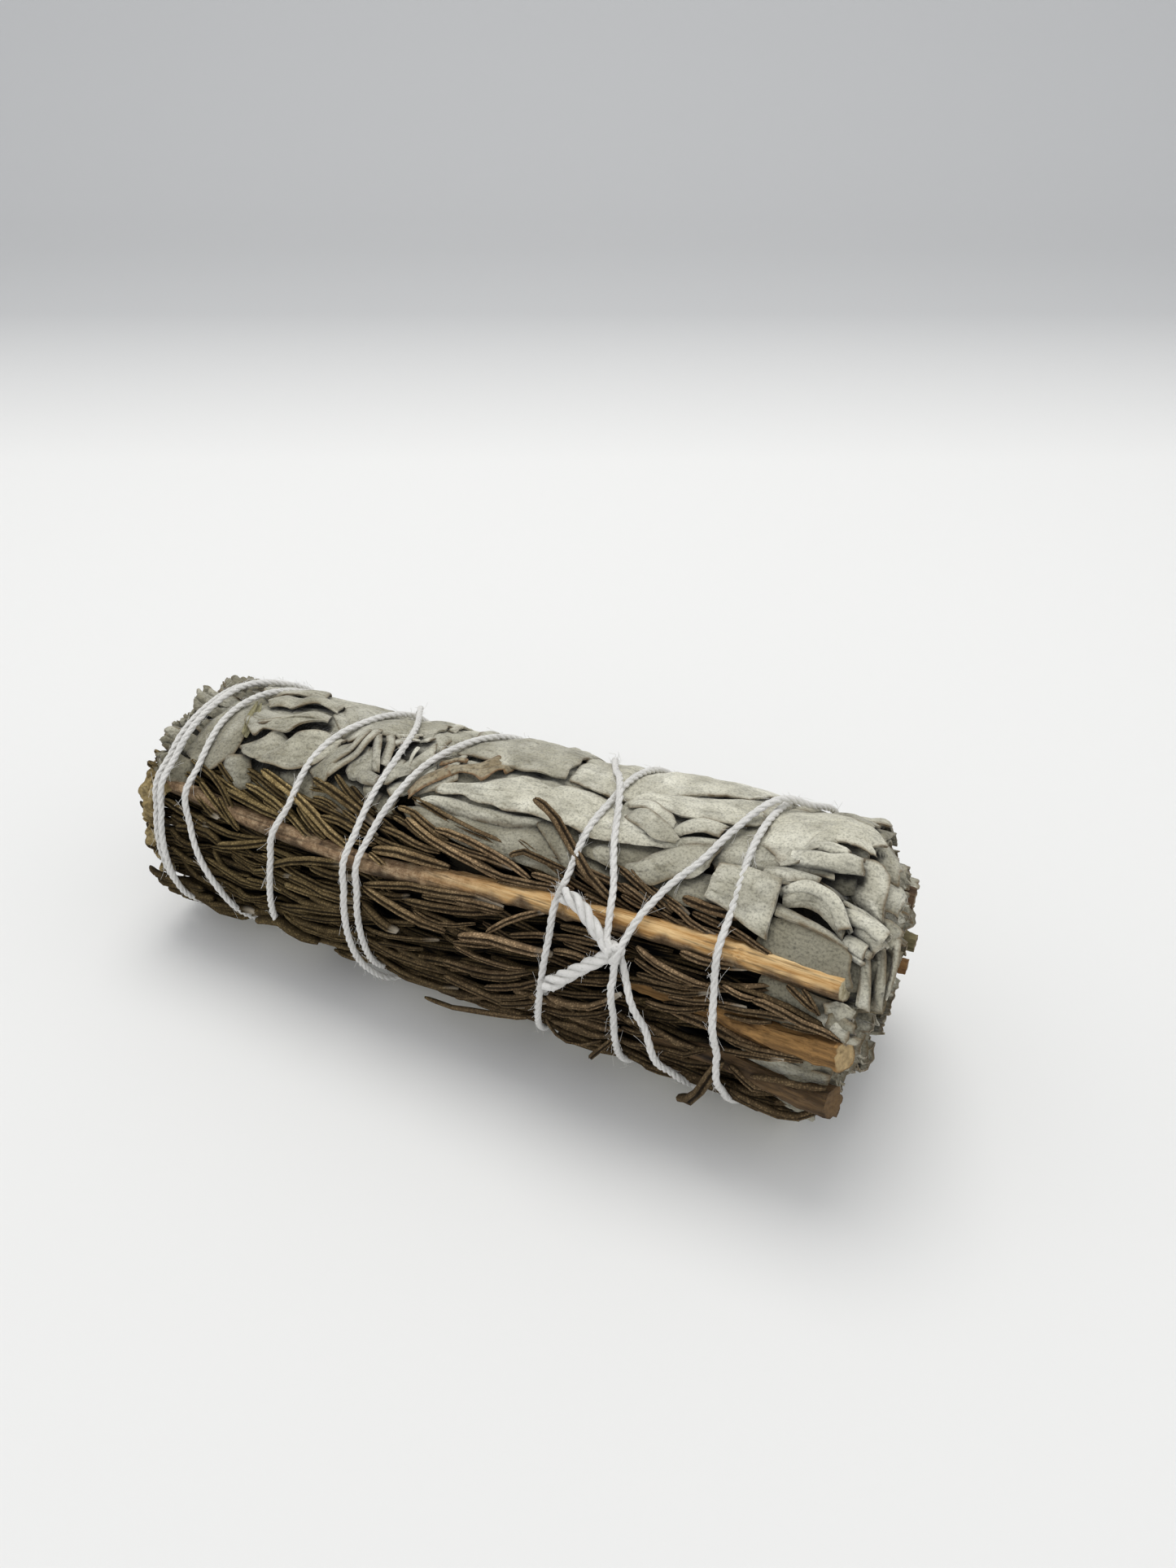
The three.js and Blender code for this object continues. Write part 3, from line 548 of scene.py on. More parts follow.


# x, degrees, height of the upper edge, then of the lower edge, from tip to base. The
# lower edges stand off the leaf below, as shingles do.
# Each leaf's tint is partly its own tone and partly painted shade, lower where it lies in shadow.
TOP_LEAVES = [
    # Lower leaves that close the gaps between those on top, kept dark as painted shade.
    dict(tint=.25, bulge=.1, wrinkle=.2, edges=[
        (10, 8, -.5, 12, 26, -.3), (16, 6, -.4, 17, 33, -.2), (23, 6, -.4, 23, 36, -.2),
        (30, 8, -.5, 30, 38, -.3)]),
    dict(tint=.3, bulge=.1, wrinkle=.2, edges=[
        (25, 27, -.3, 26, 37, -.1), (29, 26, -.2, 29, 40, 0), (33.5, 27, -.3, 33.5, 41, -.1)]),
    # Behind the string turns, over the far shoulder.
    dict(tint=.42, crumple=.12, edges=[
        (-10, -50, 0, -8, -2, .3), (-4, -52, .1, -2, 2, .5), (2, -54, .1, 2, 3, .6),
        (8, -50, 0, 8.5, 2, .6)]),
    dict(tint=.85, crumple=.1, edges=[
        (7.5, -48, -.1, 9, 1, 0), (12, -50, 0, 12.5, 3, .4), (18, -52, 0, 17, 3, .4),
        (23, -50, 0, 21.5, 0, .2)]),
    dict(tint=.92, edges=[
        (17.5, -48, .1, 19.5, 0, .3), (23, -48, .4, 23.8, -5, .6), (28, -46, .4, 27.3, -11, .6),
        (36, -44, .2, 31, -16, .4)]),
    dict(tint=.92, crease=.08, edges=[
        (17, -10, -.4, 17.5, 6, .2), (23, -12, -.3, 23.4, 6, .5), (27.5, -16, -.3, 26.7, 7, .6),
        (31.5, -22, -.3, 30, 4, .5), (36, -22, -.2, 33.5, 0, .3)]),
    # The long smooth leaf down the middle and the ones tucked under it.
    dict(tint=1, bulge=.2, crumple=.05, edges=[
        (-6.8, 20, .1, -6.6, 23, .2), (-2.6, 14, -.2, -2.9, 23, .5), (.2, 9, -.3, .4, 24, .8),
        (3, 4, -.3, 3.7, 24, .9), (7.2, 3, -.4, 7.7, 24, .9), (11.5, 3, -.2, 12.5, 24, .9),
        (15.3, 5, -.1, 16.2, 25, .7), (18.8, 6, .1, 19.7, 24, .6), (22.4, 13, .2, 23.3, 23, .6),
        (26.3, 18, .2, 26.2, 20, .4)]),
    dict(tint=.85, bulge=.75, rim=.4, edges=[
        (-9, 28, -.9, -9, 30, -.8), (-6.5, 24, -.9, -5.8, 29, -.3), (-2.9, 23, -1, -1.5, 29.5, 0),
        (1.6, 23, -1, 2, 29.5, 0), (5.7, 23, -1, 5.8, 28, -.3), (9, 22, -1.1, 9, 24, -.9)]),
    dict(tint=.45, bulge=.4, crumple=.05, edges=[
        (-11, 33, -.7, -9.5, 36, -.8), (-6.3, 29, -.8, -5.9, 39, -.6), (-1.6, 29, -.9, -2.1, 40, -.5),
        (2.7, 28, -1, 4.2, 42, -.5), (6.5, 26, -1, 9, 42, -.5), (9.5, 23, -1, 12.5, 43, -.5),
        (13.5, 25, -.7, 15.5, 43, -.6)]),
    dict(tint=.38, bulge=.15, edges=[
        (8.9, 23, -.3, 8.7, 25, -.2), (11.8, 26, .2, 11.5, 33, .2), (14.8, 32, .2, 14.6, 41, -.1)]),
    # Folded corners right of the string crossing.
    dict(tint=.9, bulge=.1, edges=[
        (17.6, 5, .5, 18.4, 8, .7), (20.6, 3, .6, 20.7, 9, .9), (23.6, 8, .6, 22.9, 12, .9),
        (24.8, 11, .5, 24.8, 14, .6)]),
    dict(tint=.66, bulge=.05, crumple=.04, edges=[
        (18.9, 9, .5, 18.6, 13, .7), (20.7, 8, .8, 20.9, 17, 1.1), (23.4, 12, .9, 23.3, 21, 1.2),
        (26.4, 18, .7, 25.9, 20.5, 1)]),
    dict(tint=.62, bulge=.3, crumple=.05, edges=[
        (20.8, 31, -.3, 21.4, 35, -.2), (22.6, 29, 0, 23.3, 36, .3), (24.4, 25, .2, 25.2, 36, .7),
        (26.6, 20, .4, 27, 33, .9), (29, 16, .4, 29.5, 30, .8), (31.2, 14, .2, 30.6, 24, .5)]),
    dict(tint=.7, edges=[
        (15.4, 28, -.7, 15.2, 31, -.7), (17.5, 25, -.4, 18, 33, -.2), (19.8, 25, -.5, 20.2, 35, -.3)]),
    dict(tint=.9, bulge=.1, edges=[
        (22, 9, -.2, 23, 18, .3), (24.8, 11, .1, 25.8, 19, .4)]),
    dict(tint=.97, bulge=.35, edges=[
        (24.7, 14, .2, 25.6, 17, .5), (25.6, 8, .1, 26.8, 15, .8), (27.8, 5, .1, 28.2, 12.5, .8),
        (30.5, 4, .1, 30.2, 10.5, .4)]),
    dict(tint=.85, bulge=.3, edges=[
        (25, 19, -.1, 24.9, 22, .2), (27, 14.5, -.1, 27.4, 18, .5), (30.5, 10, -.1, 30.3, 14, .3)]),
    dict(tint=.5, crease=.1, edges=[
        (29.5, 11, -.5, 31, 24, -.3), (31.5, 5, -.3, 33.5, 22, .1), (34.5, 3, -.2, 36, 21, .2),
        (38, 6, -.3, 38.6, 19, .2)]),
    dict(tint=.7, crumple=.18, edges=[
        (23.8, 37, -.6, 23.8, 41, -.7), (26.5, 34, -.3, 26.5, 42, -.4), (30, 33, -.4, 29.6, 40, -.5)]),
    # Flat cut patch, and the dark leaf under the long stem with a pale one over its edge.
    dict(tint=.9, bulge=.05, rim=0, crumple=.05, ragged=.06, thickness=.55, edges=[
        (32, 23.5, .7, 31.6, 36, .6), (34.6, 21.5, .9, 34.4, 38, .8), (37, 22.5, 1, 37, 41.5, .8),
        (39.5, 24, 1.1, 39.9, 44, .8)]),
    dict(tint=.08, bulge=.3, rim=.02, crumple=.04, ragged=.08, wrinkle=.04, edges=[
        (38.6, 36, .1, 38.6, 50, -1), (41.2, 35.5, .3, 42.5, 52, -1), (43.8, 36, .4, 45, 53, -1),
        (46.9, 38, .6, 47.6, 53, -.9), (49, 40.5, .7, 49.7, 51, -.5)]),
    dict(tint=.8, bulge=.1, rim=0, edges=[
        (39.6, 31, -.1, 39.8, 35.8, .6), (42, 33, -.1, 42.2, 36.3, .8), (44.2, 34.6, 0, 44.3, 37, .9),
        (46.4, 36.5, .1, 46.6, 38.4, .9), (48.2, 38.6, .2, 48.4, 40, .8)]),
    # Broad torn leaf on top of the cut end, and the brown-edged flakes beyond it.
    dict(tint=.97, crumple=.14, crease=.1, ragged=.5, edges=[
        (33, -24, 0, 34.5, 9, .3), (37, -26, .2, 38, 16, .6), (40, -24, .3, 40.3, 8, .7),
        (43, -19, .4, 43.4, 2, .8), (46, -13, .6, 46.4, 4, 1), (48.1, -6, .7, 47.8, 3.5, 1)]),
    dict(tint=.35, ragged=.4, edges=[
        (40, -34, -.3, 40.5, -22, .2), (43, -32, -.3, 43.5, -18, .4), (45.6, -28, -.6, 45.8, -14, .3)]),
    dict(tint=.35, bulge=.4, crumple=.15, edges=[
        (46, -14, -.6, 46, -4, -1.1), (47.6, -12, -.3, 47.6, 0, -1.3), (49.2, -8, -.4, 49.4, 6, -1),
        (50.6, -2, -.7, 51, 9, -.3)]),
    dict(tint=.8, bulge=.15, crumple=.2, ragged=.6, wrinkle=.2, edges=[
        (37.6, 13, .2, 38, 18, .7), (39.4, 9, .4, 40, 15.4, .9), (40.4, 3.5, .6, 41.2, 11, 1.1),
        (41.4, -2, .7, 43, 4, 1), (43.6, -5, .6, 44, -1.5, .8)]),
    # Rolled rims behind the hollow, the curl that closes it and the strips in front.
    dict(tint=.95, bulge=.7, rim=.3, edges=[
        (41.2, 4.5, .3, 41.2, 8.5, .7), (43.2, 3.8, .5, 43.3, 9, 1), (45.2, 5.5, .5, 45.2, 9, 1)]),
    dict(tint=.7, bulge=.1, rim=.1, ragged=.35, edges=[
        (39.6, 13, -.1, 39.2, 18.5, 0), (42.4, 12.5, .1, 42, 18, .3), (44.6, 12.5, .1, 44.2, 17.5, .4)]),
    dict(tint=.9, bulge=.35, crumple=.1, edges=[
        (37.2, 18, -.1, 37, 23.5, .4), (39.4, 17.8, .2, 39.6, 23.5, .9), (41.2, 18, .3, 41.4, 22.5, 1),
        (43.1, 18.8, .2, 43.1, 20.8, .8)]),
    dict(tint=.55, bulge=.1, thickness=.25, edges=[
        (36.6, 23, .3, 36.8, 25.2, .8), (38.4, 23.2, .5, 38.6, 25.6, 1), (40.5, 22, .3, 40.7, 24.2, .8)]),
    dict(tint=.7, bulge=.1, thickness=.25, edges=[
        (36.7, 25, .2, 36.9, 27.2, .7), (38.4, 25.3, .4, 38.6, 27.6, .9),
        (40.3, 24.4, .2, 40.5, 26.6, .6)]),
    dict(tint=.45, bulge=-.4, edges=[
        (42.6, 17.5, -.8, 42.8, 20.5, .5), (44.6, 17, -1.4, 44.8, 22, .5),
        (46.5, 19, -1.6, 46.2, 24, 0)]),
    dict(tint=.82, bulge=.05, rim=0, crumple=.12, ragged=.25, edges=[
        (45.6, 5, .2, 49.4, 4, .5), (45.2, 10, -.4, 50.2, 10, .6), (45.8, 15, -1.1, 50.4, 16, .6),
        (46.9, 20, -1.4, 50.4, 21, .4), (49, 25.5, -1.4, 50.5, 25.5, -.1)]),
    dict(tint=.75, bulge=.2, edges=[
        (46.3, 22.5, -.8, 46.4, 26, .3), (48.2, 23.5, -.9, 48.3, 27.2, .4),
        (50.4, 25.5, -.9, 50.5, 28.8, .2)]),
    dict(tint=.5, ragged=.3, edges=[
        (49.4, 6, -1.2, 49.4, 20, -1.3), (51.2, 7, -.9, 51, 20, -1), (52.3, 9, -1.1, 52, 20, -1.2)]),
    dict(tint=.6, edges=[
        (50, 22.5, -1.2, 49.8, 34, -1.4), (51.6, 23, -.7, 51.4, 34, -1), (52.9, 25, -1, 52.7, 34, -1.2)]),
    # Leaf ends in steps below the curls, each a little further out than the one over it.
    dict(tint=.2, crumple=.2, wrinkle=.25, ragged=.08, edges=[
        (47.8, 41, -.4, 48, 53, -1.3), (50.4, 41.5, -.1, 50.5, 52, -.9)]),
    dict(tint=.1, crumple=.2, wrinkle=.25, ragged=.1, edges=[
        (48.6, 36, -1.6, 48.6, 57, -2.1), (51, 35.5, -1.1, 50.8, 57, -1.6),
        (52.1, 35, -1, 51.8, 55, -1.5)]),
    dict(tint=.4, crumple=.2, wrinkle=.25, ragged=.12, edges=[
        (49, 34, -2.5, 49, 60, -2.9), (52.9, 33, -2, 52.5, 57, -2.4)]),
    dict(tint=.15, crumple=.2, wrinkle=.25, ragged=.15, edges=[
        (49, 30, -3.6, 49, 62, -4), (53.3, 30, -3.1, 53, 60, -3.5)]),
    # Between and below the stems.
    dict(tint=.42, crumple=.15, bulge=.5, edges=[
        (40, 56, -2, 40, 66, -2.2), (44.5, 57, -1.5, 45, 71, -1.9), (50.4, 58, -1, 50.6, 74, -1.6)]),
    dict(tint=.7, crumple=.1, edges=[
        (39, 84, -1.9, 39, 95, -2.2), (44, 85, -1.4, 44, 95, -1.8), (49.5, 87, -1, 49, 93, -1.6)]),
    # Strips beside the doubled string, and the curls next to them.
    dict(tint=.5, bulge=.15, crumple=.12, edges=[
        (-14.9, 21, 0, -14.6, 25, .3), (-13.6, 13, .2, -12.4, 20, .5), (-12.3, 7, .1, -11, 13, .4),
        (-11.6, -4, 0, -10, 7, .3)]),
    dict(tint=.55, bulge=.15, crumple=.12, edges=[
        (-14.4, 25, -.4, -12.9, 30, -.1), (-11.6, 19, -.3, -10.6, 26, .1), (-10.7, 13, -.3, -9.4, 19, .2),
        (-9.9, 6, -.3, -8.2, 15, .2)]),
    dict(tint=.66, bulge=.3, edges=[
        (-9.4, 14, -.2, -8.8, 26, 0), (-8, 6, -.2, -6.6, 22, .1), (-7, -8, -.1, -5, 16, .1)]),
    dict(tint=.66, bulge=.45, rim=.3, edges=[
        (-18.3, 23, .2, -17.9, 27.5, .6), (-17, 22, .5, -16.6, 29, 1.3),
        (-15.6, 23, .4, -15.3, 27.5, .9)]),
    dict(tint=.6, bulge=.15, crumple=.1, edges=[
        (-15.9, 14, .3, -14.8, 26, .5), (-14.8, 11, .5, -13.6, 26, .8), (-13.9, 10, .2, -12.9, 20, .4)]),
    dict(tint=.5, bulge=.1, crumple=.2, wrinkle=.2, edges=[
        (-17.2, 0, .5, -16.6, 5, .9), (-16.4, 0, .6, -15.5, 7, 1), (-15.6, 1, .4, -14.9, 6, .8)]),
    dict(tint=.75, crumple=.15, edges=[
        (-20.6, 27, -.8, -19, 33, -.8), (-17.3, 28, -.6, -16.6, 36, -.6),
        (-14.3, 29, -.6, -14.4, 36, -.7)]),
    dict(tint=.55, bulge=.35, rim=.2, edges=[
        (-20.6, 24, -.2, -19.7, 27, .1), (-20.8, 18, -.1, -18.2, 27, .4), (-20, 12, -.1, -17, 23, .5),
        (-19.4, 7, -.2, -17.6, 15, .2)]),
    # Tip side: the smooth leaf under the last turns, then the big crumpled folds.
    dict(tint=.45, crumple=.08, edges=[
        (-46.6, 36, -.1, -43.8, 41, .1), (-46.6, 24, 0, -41.1, 40, .4), (-46, 12, .1, -39, 34, .4),
        (-44.6, 4, .1, -38.6, 27, .2), (-43, -4, .1, -39.6, 8, .1)]),
    dict(tint=.68, bulge=.15, crumple=.1, edges=[
        (-40.9, 9, .3, -39.4, 14, 1), (-40.1, 2, .1, -36.2, 16, 1.9), (-36.5, 3, .1, -34.3, 13, 2),
        (-33.7, 2, .1, -32.4, 9.5, 2), (-32.3, -4, .2, -30.4, 6, 1.8), (-29.5, -5, .1, -28, 3, 1.1)]),
    dict(tint=.6, bulge=-.15, rim=.05, crumple=.05, edges=[
        (-40.5, 11, .8, -39, 17, 1.2), (-38.6, 12.5, 1.5, -35.5, 23, 2.3),
        (-36.6, 14.5, 1.8, -35.3, 17, 1.6), (-34.6, 11.5, 1.9, -31.2, 18, 2.3),
        (-32.8, 8, 1.9, -30.6, 13, 1.9), (-31, 5, 1.7, -29.6, 8, 1.6), (-28.9, 2, 1.2, -28.2, 3.5, 1.1)]),
    dict(tint=.62, bulge=.5, crumple=.2, edges=[
        (-41.4, -10, -.3, -39.2, 0, .3), (-39.9, -16, 0, -37, -3, .6), (-37.2, -16, .1, -34.6, -3, .9),
        (-34.8, -20, .2, -33, -9, .9), (-30, -18, .1, -28.6, -7, .6)]),
    dict(tint=.76, bulge=-.1, crumple=.06, edges=[
        (-37.6, 27.5, 1, -37, 29.5, 1.2), (-36.3, 25, 1.1, -34.7, 32, 1.5),
        (-34.8, 21, 1.2, -32.4, 31, 1.3), (-33.3, 16.5, 1.6, -30.2, 30, .9),
        (-31.1, 19, .9, -28.5, 29, .6), (-29.4, 22, .3, -27.2, 27, .4)]),
    dict(tint=.85, bulge=.2, crumple=.08, edges=[
        (-32.2, 24, .4, -33.8, 31.5, 1.2), (-30.7, 19, 1.1, -31, 32, 1.4),
        (-30.2, 14, 1.2, -28.4, 32, 1.4), (-29.1, 10, .9, -26.2, 28, 1.1), (-26.9, 8, .5, -25, 23, .8),
        (-24, 8, .2, -24, 15, .5)]),
    dict(tint=.7, crumple=.25, edges=[
        (-40.6, 36, -.3, -38.6, 45, -.8), (-38.2, 32, .4, -36, 46, -.6),
        (-35.7, 30, -.2, -34.1, 43, -.8)]),
    dict(tint=.8, crumple=.1, edges=[
        (-30.6, 33, -.6, -28.4, 38, -.9), (-28.3, 29, -.4, -26, 41, -.7),
        (-26.4, 25, -.3, -23.8, 41, -.7)]),
    dict(tint=.55, bulge=.2, crumple=.12, edges=[
        (-26.6, 27, .1, -24.8, 31, .4), (-25.6, 18, .2, -22.4, 33, .6), (-24.2, 12, .2, -22.3, 27, .6),
        (-22.3, 9, .1, -21.2, 18, .3)]),
    dict(tint=.45, crumple=.18, edges=[
        (-30, -42, .1, -29, -6, .1), (-25, -42, .1, -24, 8, .1), (-21, -42, .1, -21, 2, .2),
        (-14, -40, 0, -13, -5, .1)]),
    # Folds that run with the string over the far side of the tip.
    dict(tint=.6, bulge=.6, edges=[
        (-49, -40, .2, -45, -22, .4), (-45.6, -44, .3, -43.5, -27, .6), (-40, -46, .2, -39, -32, .4)]),
    dict(tint=.66, bulge=.6, edges=[
        (-46.5, -26, .1, -43, -12, .4), (-43, -32, .2, -40, -18, .5), (-37, -38, .2, -35, -24, .4)]),
]
top_leaves = join_pieces([leaf(**facts) for facts in TOP_LEAVES], "sage_top_leaves")

# Curled strips that stand on edge beside the string near the tip.
SWIRL_STRIPS = [
    dict(edges=[
        (-23, 28, .4, -22, 30, .7), (-21.9, 21, .6, -20.7, 23, .9), (-20.7, 15, .7, -19.7, 17, 1),
        (-20.8, 7, .6, -19.5, 8, .9), (-21.4, -2, .3, -20.1, -1, .5)]),
    dict(edges=[
        (-24, 26, .4, -23.1, 28, .7), (-23.1, 20, .6, -22, 22, .9), (-22.2, 15, .7, -21.1, 17, 1),
        (-22, 8, .6, -21, 9, .9), (-22.6, -1, .3, -21.5, 0, .5)]),
    dict(edges=[
        (-16.9, 21.5, .4, -15.9, 21.5, .8), (-17.8, 16.2, .7, -16.8, 15.4, 1.2),
        (-18.7, 10.6, .7, -17.7, 9.4, 1.2), (-20.1, 4, .5, -19.2, 2.2, .8)]),
    dict(edges=[
        (-16.5, 17.5, .3, -15.4, 17.2, .8), (-16.8, 12, .7, -15.6, 11.8, 1.2),
        (-17.4, 7, .8, -16.3, 6, 1.2), (-18.6, 2, .5, -17.7, .4, .8)]),
    dict(edges=[
        (-21, 10, .1, -19.2, 10.5, .6), (-20.5, 15, .3, -18.6, 15, .8), (-19.6, 20, .2, -18, 20, .6)]),
    dict(edges=[
        (-17.4, 5.4, .4, -16.5, 6.2, .7), (-16.8, 2.6, .8, -15.6, 4.4, 1.2),
        (-16.3, -.2, .7, -14.9, 1.4, 1)]),
    dict(edges=[
        (-18, -1.2, .5, -17.3, -.2, .7), (-16.4, -3.4, .7, -15.9, -2.2, 1),
        (-14.8, -4.8, .5, -14.4, -3.6, .8)]),
    dict(edges=[
        (-17.6, -2.8, .4, -17, -1.9, .6), (-16.1, -4.8, .6, -15.6, -3.8, .9),
        (-14.5, -6.4, .4, -14.1, -5.4, .7)]),
    dict(edges=[
        (-17.2, .2, .6, -16.6, 1.2, .8), (-15.9, -1.6, .8, -15.3, -.5, 1.1),
        (-14.6, -2.8, .6, -14, -1.6, .8)]),
    dict(edges=[
        (-14.2, -7, .3, -12.4, -6.4, .5), (-14, -4, .7, -12.4, -3.6, .8), (-14, -1, .9, -12.6, -1, .9)]),
    dict(edges=[
        (-17.2, 27, .4, -15, 27, .7), (-16.7, 30.5, .7, -14.7, 30.5, 1), (-16, 33.8, .4, -15, 34, .6)]),
    dict(edges=[
        (-13.9, 2, .4, -12.9, 3, .7), (-13.6, 8, .6, -12.6, 9, .9), (-13, 14, .4, -12.1, 15, .6)]),
]
swirl = join_pieces(
    [leaf(bulge=.15, rim=.1, crumple=.12, tint=.6, thickness=.26, **facts)
     for facts in SWIRL_STRIPS], "sage_swirl_strips")

# Yellowish young leaf with a pale rib, caught between the folds.
rib_finish = Finish("yellow_green_leaf", .8, sheen=.1)
rib_finish.color(rib_finish.shaded(
    rib_finish.ramp(rib_finish.noise(500, 4), (.3, (.2, .18, .085)), (.7, (.36, .33, .19))),
    rib_finish.noise(2200, 3), .7, (.35, .6), (.6, 1.0)))
rib_finish.bump(rib_finish.noise(1400, 4), .0003, .6)
young_leaf = join_pieces([
    leaf([(-41.9, 0, .9, -41, 0, .9), (-40.6, 5, 1.3, -39.2, 6, 1.3),
          (-39.8, 12, 1.4, -38, 14, 1.3), (-38.6, 21, 1, -37.8, 22, .9)],
         bulge=-.3, rim=0, crumple=.1, tint=.5, cols=10, finish=rib_finish),
    leaf([(-41.5, 0, 1.2, -41.3, 0, 1.2), (-40, 6, 1.6, -39.7, 6, 1.6),
          (-39.1, 13, 1.6, -38.7, 13, 1.6), (-38.3, 21, 1.3, -38.1, 21, 1.3)],
         bulge=.2, rim=.1, crumple=.02, ragged=.02, tint=.9, cols=6, finish=rib_finish),
], "young_sage_leaf")

# Under layer and back: seeded rows of broader leaves, each over the one beside it.
ROW_BASES = (47, 28, 8, -12, -30)
ROW_LEAVES = 9
ROW_START = -208
ROW_TURN = 27
ROW_SHIFT = 13
ROW_TIP_END = -49.5
TOP_SHOWS_FROM = -25
row_rng = np.random.default_rng(41)
row_leaves = []
for row, row_x in enumerate(ROW_BASES):
    for k in range(ROW_LEAVES):
        shift = ROW_SHIFT if row % 2 else 0
        centre = ROW_START + ROW_TURN * k + shift + row_rng.uniform(-4, 4)
        visible = centre > TOP_SHOWS_FROM
        half = row_rng.uniform(15, 19)
        base = row_x + row_rng.uniform(-2, 2)
        length = row_rng.uniform(24, 31)
        tip = max(base - length, ROW_TIP_END)
        base = min(base, ROW_BASES[0])
        level = row_rng.uniform(-.35, .15)
        if visible:
            level = -.6 if centre < 15 else -1.0
        slant = row_rng.uniform(-7, 7)
        tilt = .25 if row_rng.random() < .5 else -.25
        third, most = tip + .35 * length, tip + .75 * length
        upper, lower = level + tilt, level - tilt
        # Under leaves that show between those on top are given darker tints: painted shade.
        row_leaves.append(leaf(
            [(tip, centre - .45 * half - slant, upper,
              tip + 1, centre + .45 * half - slant, lower),
             (third, centre - half - .4 * slant, upper,
              third, centre + half - .4 * slant, lower),
             (most, centre - half, upper, most, centre + half, lower),
             (base, centre - .7 * half, level + .5 * tilt,
              base, centre + .7 * half, level - .5 * tilt)],
            bulge=row_rng.uniform(.1, .4), rim=.3, crumple=row_rng.uniform(.1, .24),
            tint=row_rng.uniform(.3, .6) if visible else row_rng.uniform(.4, .9),
            crease=row_rng.choice([0, .12, .2]), rows=40, cols=20))
row_leaves = join_pieces(row_leaves, "sage_under_leaves")

for piece in (top_leaves, swirl, young_leaf, row_leaves):
    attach(piece, "root")
    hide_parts("sage_leaf_roll")


# ----------------------------------------------------------
# Tip end: the thin leaf ends close over the roll and dry into ruffled, scalloped curls.
# The inner ones are gathered under the last turn of string, the outer ones stand free of
# it in frilled layers.

RUFFLE_START = -42.5
RUFFLE_THICKNESS = .35
# Leaf ends in each ring, how deep the ring lies and how far it reaches.
RUFFLE_RINGS = ((16, 2.4, 9.4), (12, 5.2, 9.8), (8, 9.0, 9.4))
# Height and number of the frilled ends in each layer outside the last turn of string.
FRILL_LAYERS = ((.3, 34), (-.6, 36), (-1.5, 34), (-2.4, 30))
FRILL_TIP = -51.3
FRILL_ROOT = -44.6
tip_rng = np.random.default_rng(67)


def ruffle(around, depth, length, width, lean, wave, tint):
    """A leaf end from inside the last turn of string, closing towards the axis."""
    sheet, u, v = leaf_sheet(22, 18)
    across = 2 * v - 1
    half = .5 * width * np.cos(.42 * math.pi * u) ** .7
    scallop = .35 * np.abs(np.sin(across * tip_rng.uniform(5, 8) + tip_rng.uniform(0, 3)))
    x = RUFFLE_START - length * u * (1 - .1 * across**2) + scallop * u**3
    out = TIP_RADIUS + .2 - depth - lean * u**2
    phase = tip_rng.uniform(0, 6.28)
    out = out + wave * u**1.5 * np.sin(across * tip_rng.uniform(2.5, 5) + phase)
    out = out + .25 * swell(tip_rng, length * u, half * across, 3.0)
    spread = np.degrees(half * across / np.maximum(out, 4))
    out = np.minimum(out, skin(x, around + spread) + .5)
    set_points(sheet, on_bundle(x, around + spread, out))
    mark_points(sheet, "tint", tint)
    mark_points(sheet, "edge_band", np.clip(1.0 - (1 - u) * length / .6, 0, 1))
    thicken(sheet, RUFFLE_THICKNESS, felt)
    return sheet


ruffles = []
for ring, (count, depth, reach) in enumerate(RUFFLE_RINGS):
    for k in range(count):
        around = 360 * (k + .5 * (ring % 2)) / count + tip_rng.uniform(-6, 6)
        behind_needles = 44 < around < 138
        sunk = 1.6 if behind_needles and ring == 0 else 0
        ruffles.append(ruffle(
            around, depth + sunk + tip_rng.uniform(0, .8),
            reach + tip_rng.uniform(-1.4, .9), tip_rng.uniform(5.5, 8.5), tip_rng.uniform(.2, 3.2),
            tip_rng.uniform(.5, 1.3), tip_rng.uniform(.35, .9)))
# The outermost ends stay outside the last turn of string, stacked and frilled.
for level, count in FRILL_LAYERS:
    for k in range(count):
        around = 360 * (k + tip_rng.uniform(-.35, .35)) / count
        if 46 < around < 142:
            continue
        half = tip_rng.uniform(3.5, 6.5)
        tip = FRILL_TIP + tip_rng.uniform(-.7, 1.4) + .35 * level
        height = level + tip_rng.uniform(-.3, .3)
        skew = tip_rng.uniform(-4, 4)
        ruffles.append(leaf(
            [(tip, around - half * .5 + skew, height, tip, around + half * .5 + skew, height),
             (tip + 1.2, around - half + skew, height, tip + 1.2, around + half + skew, height),
             (tip + 4, around - half, height - .2, tip + 4, around + half, height - .2),
             (FRILL_ROOT, around - half * .8, -.9, FRILL_ROOT, around + half * .8, -.9)],
            bulge=tip_rng.uniform(-.3, .5), rim=.1, crumple=tip_rng.uniform(.15, .35), ragged=.3,
            frill=tip_rng.uniform(.3, .7), tint=tip_rng.uniform(.1, .65), rows=18, cols=14,
            flare=tip_rng.uniform(.7, 1.2), thickness=.26))
ruffles = join_pieces(ruffles, "sage_tip_ruffles")
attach(ruffles, "root")
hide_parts("sage_leaf_roll")


# ----------------------------------------------------------
# Cut end: leaf bases rolled into scrolls and tubes, with torn rims, packed round the core.
# They are cut to uneven lengths, and only the string holds them.

SCROLL_CRUMPLE = .1
SCROLL_CLEARANCE = .4
# How far the leaf bases reach along the bundle, by their depth.
BASE_REACH = ((0, 2, 4, 8, 14), (48.9, 50.2, 51.2, 52.2, 52.5))
# Places where they are cut shorter: degrees around, breadth, how much, and how deep.
SHORT_PLACES = ((-35, 45, 3.0, 7), (-85, 35, 1.6, 8), (-130, 40, 2.6, 9), (175, 40, 4.2, 11),
                (128, 24, 3.2, 10))
# Depth of each ring of scrolls, how many and how thick.
SCROLL_RINGS = ((2.6, 13, 1.5), (6.0, 10, 2.0), (10.0, 7, 2.4), (15.5, 3, 2.6))
SCROLL_ROOT = 41.5
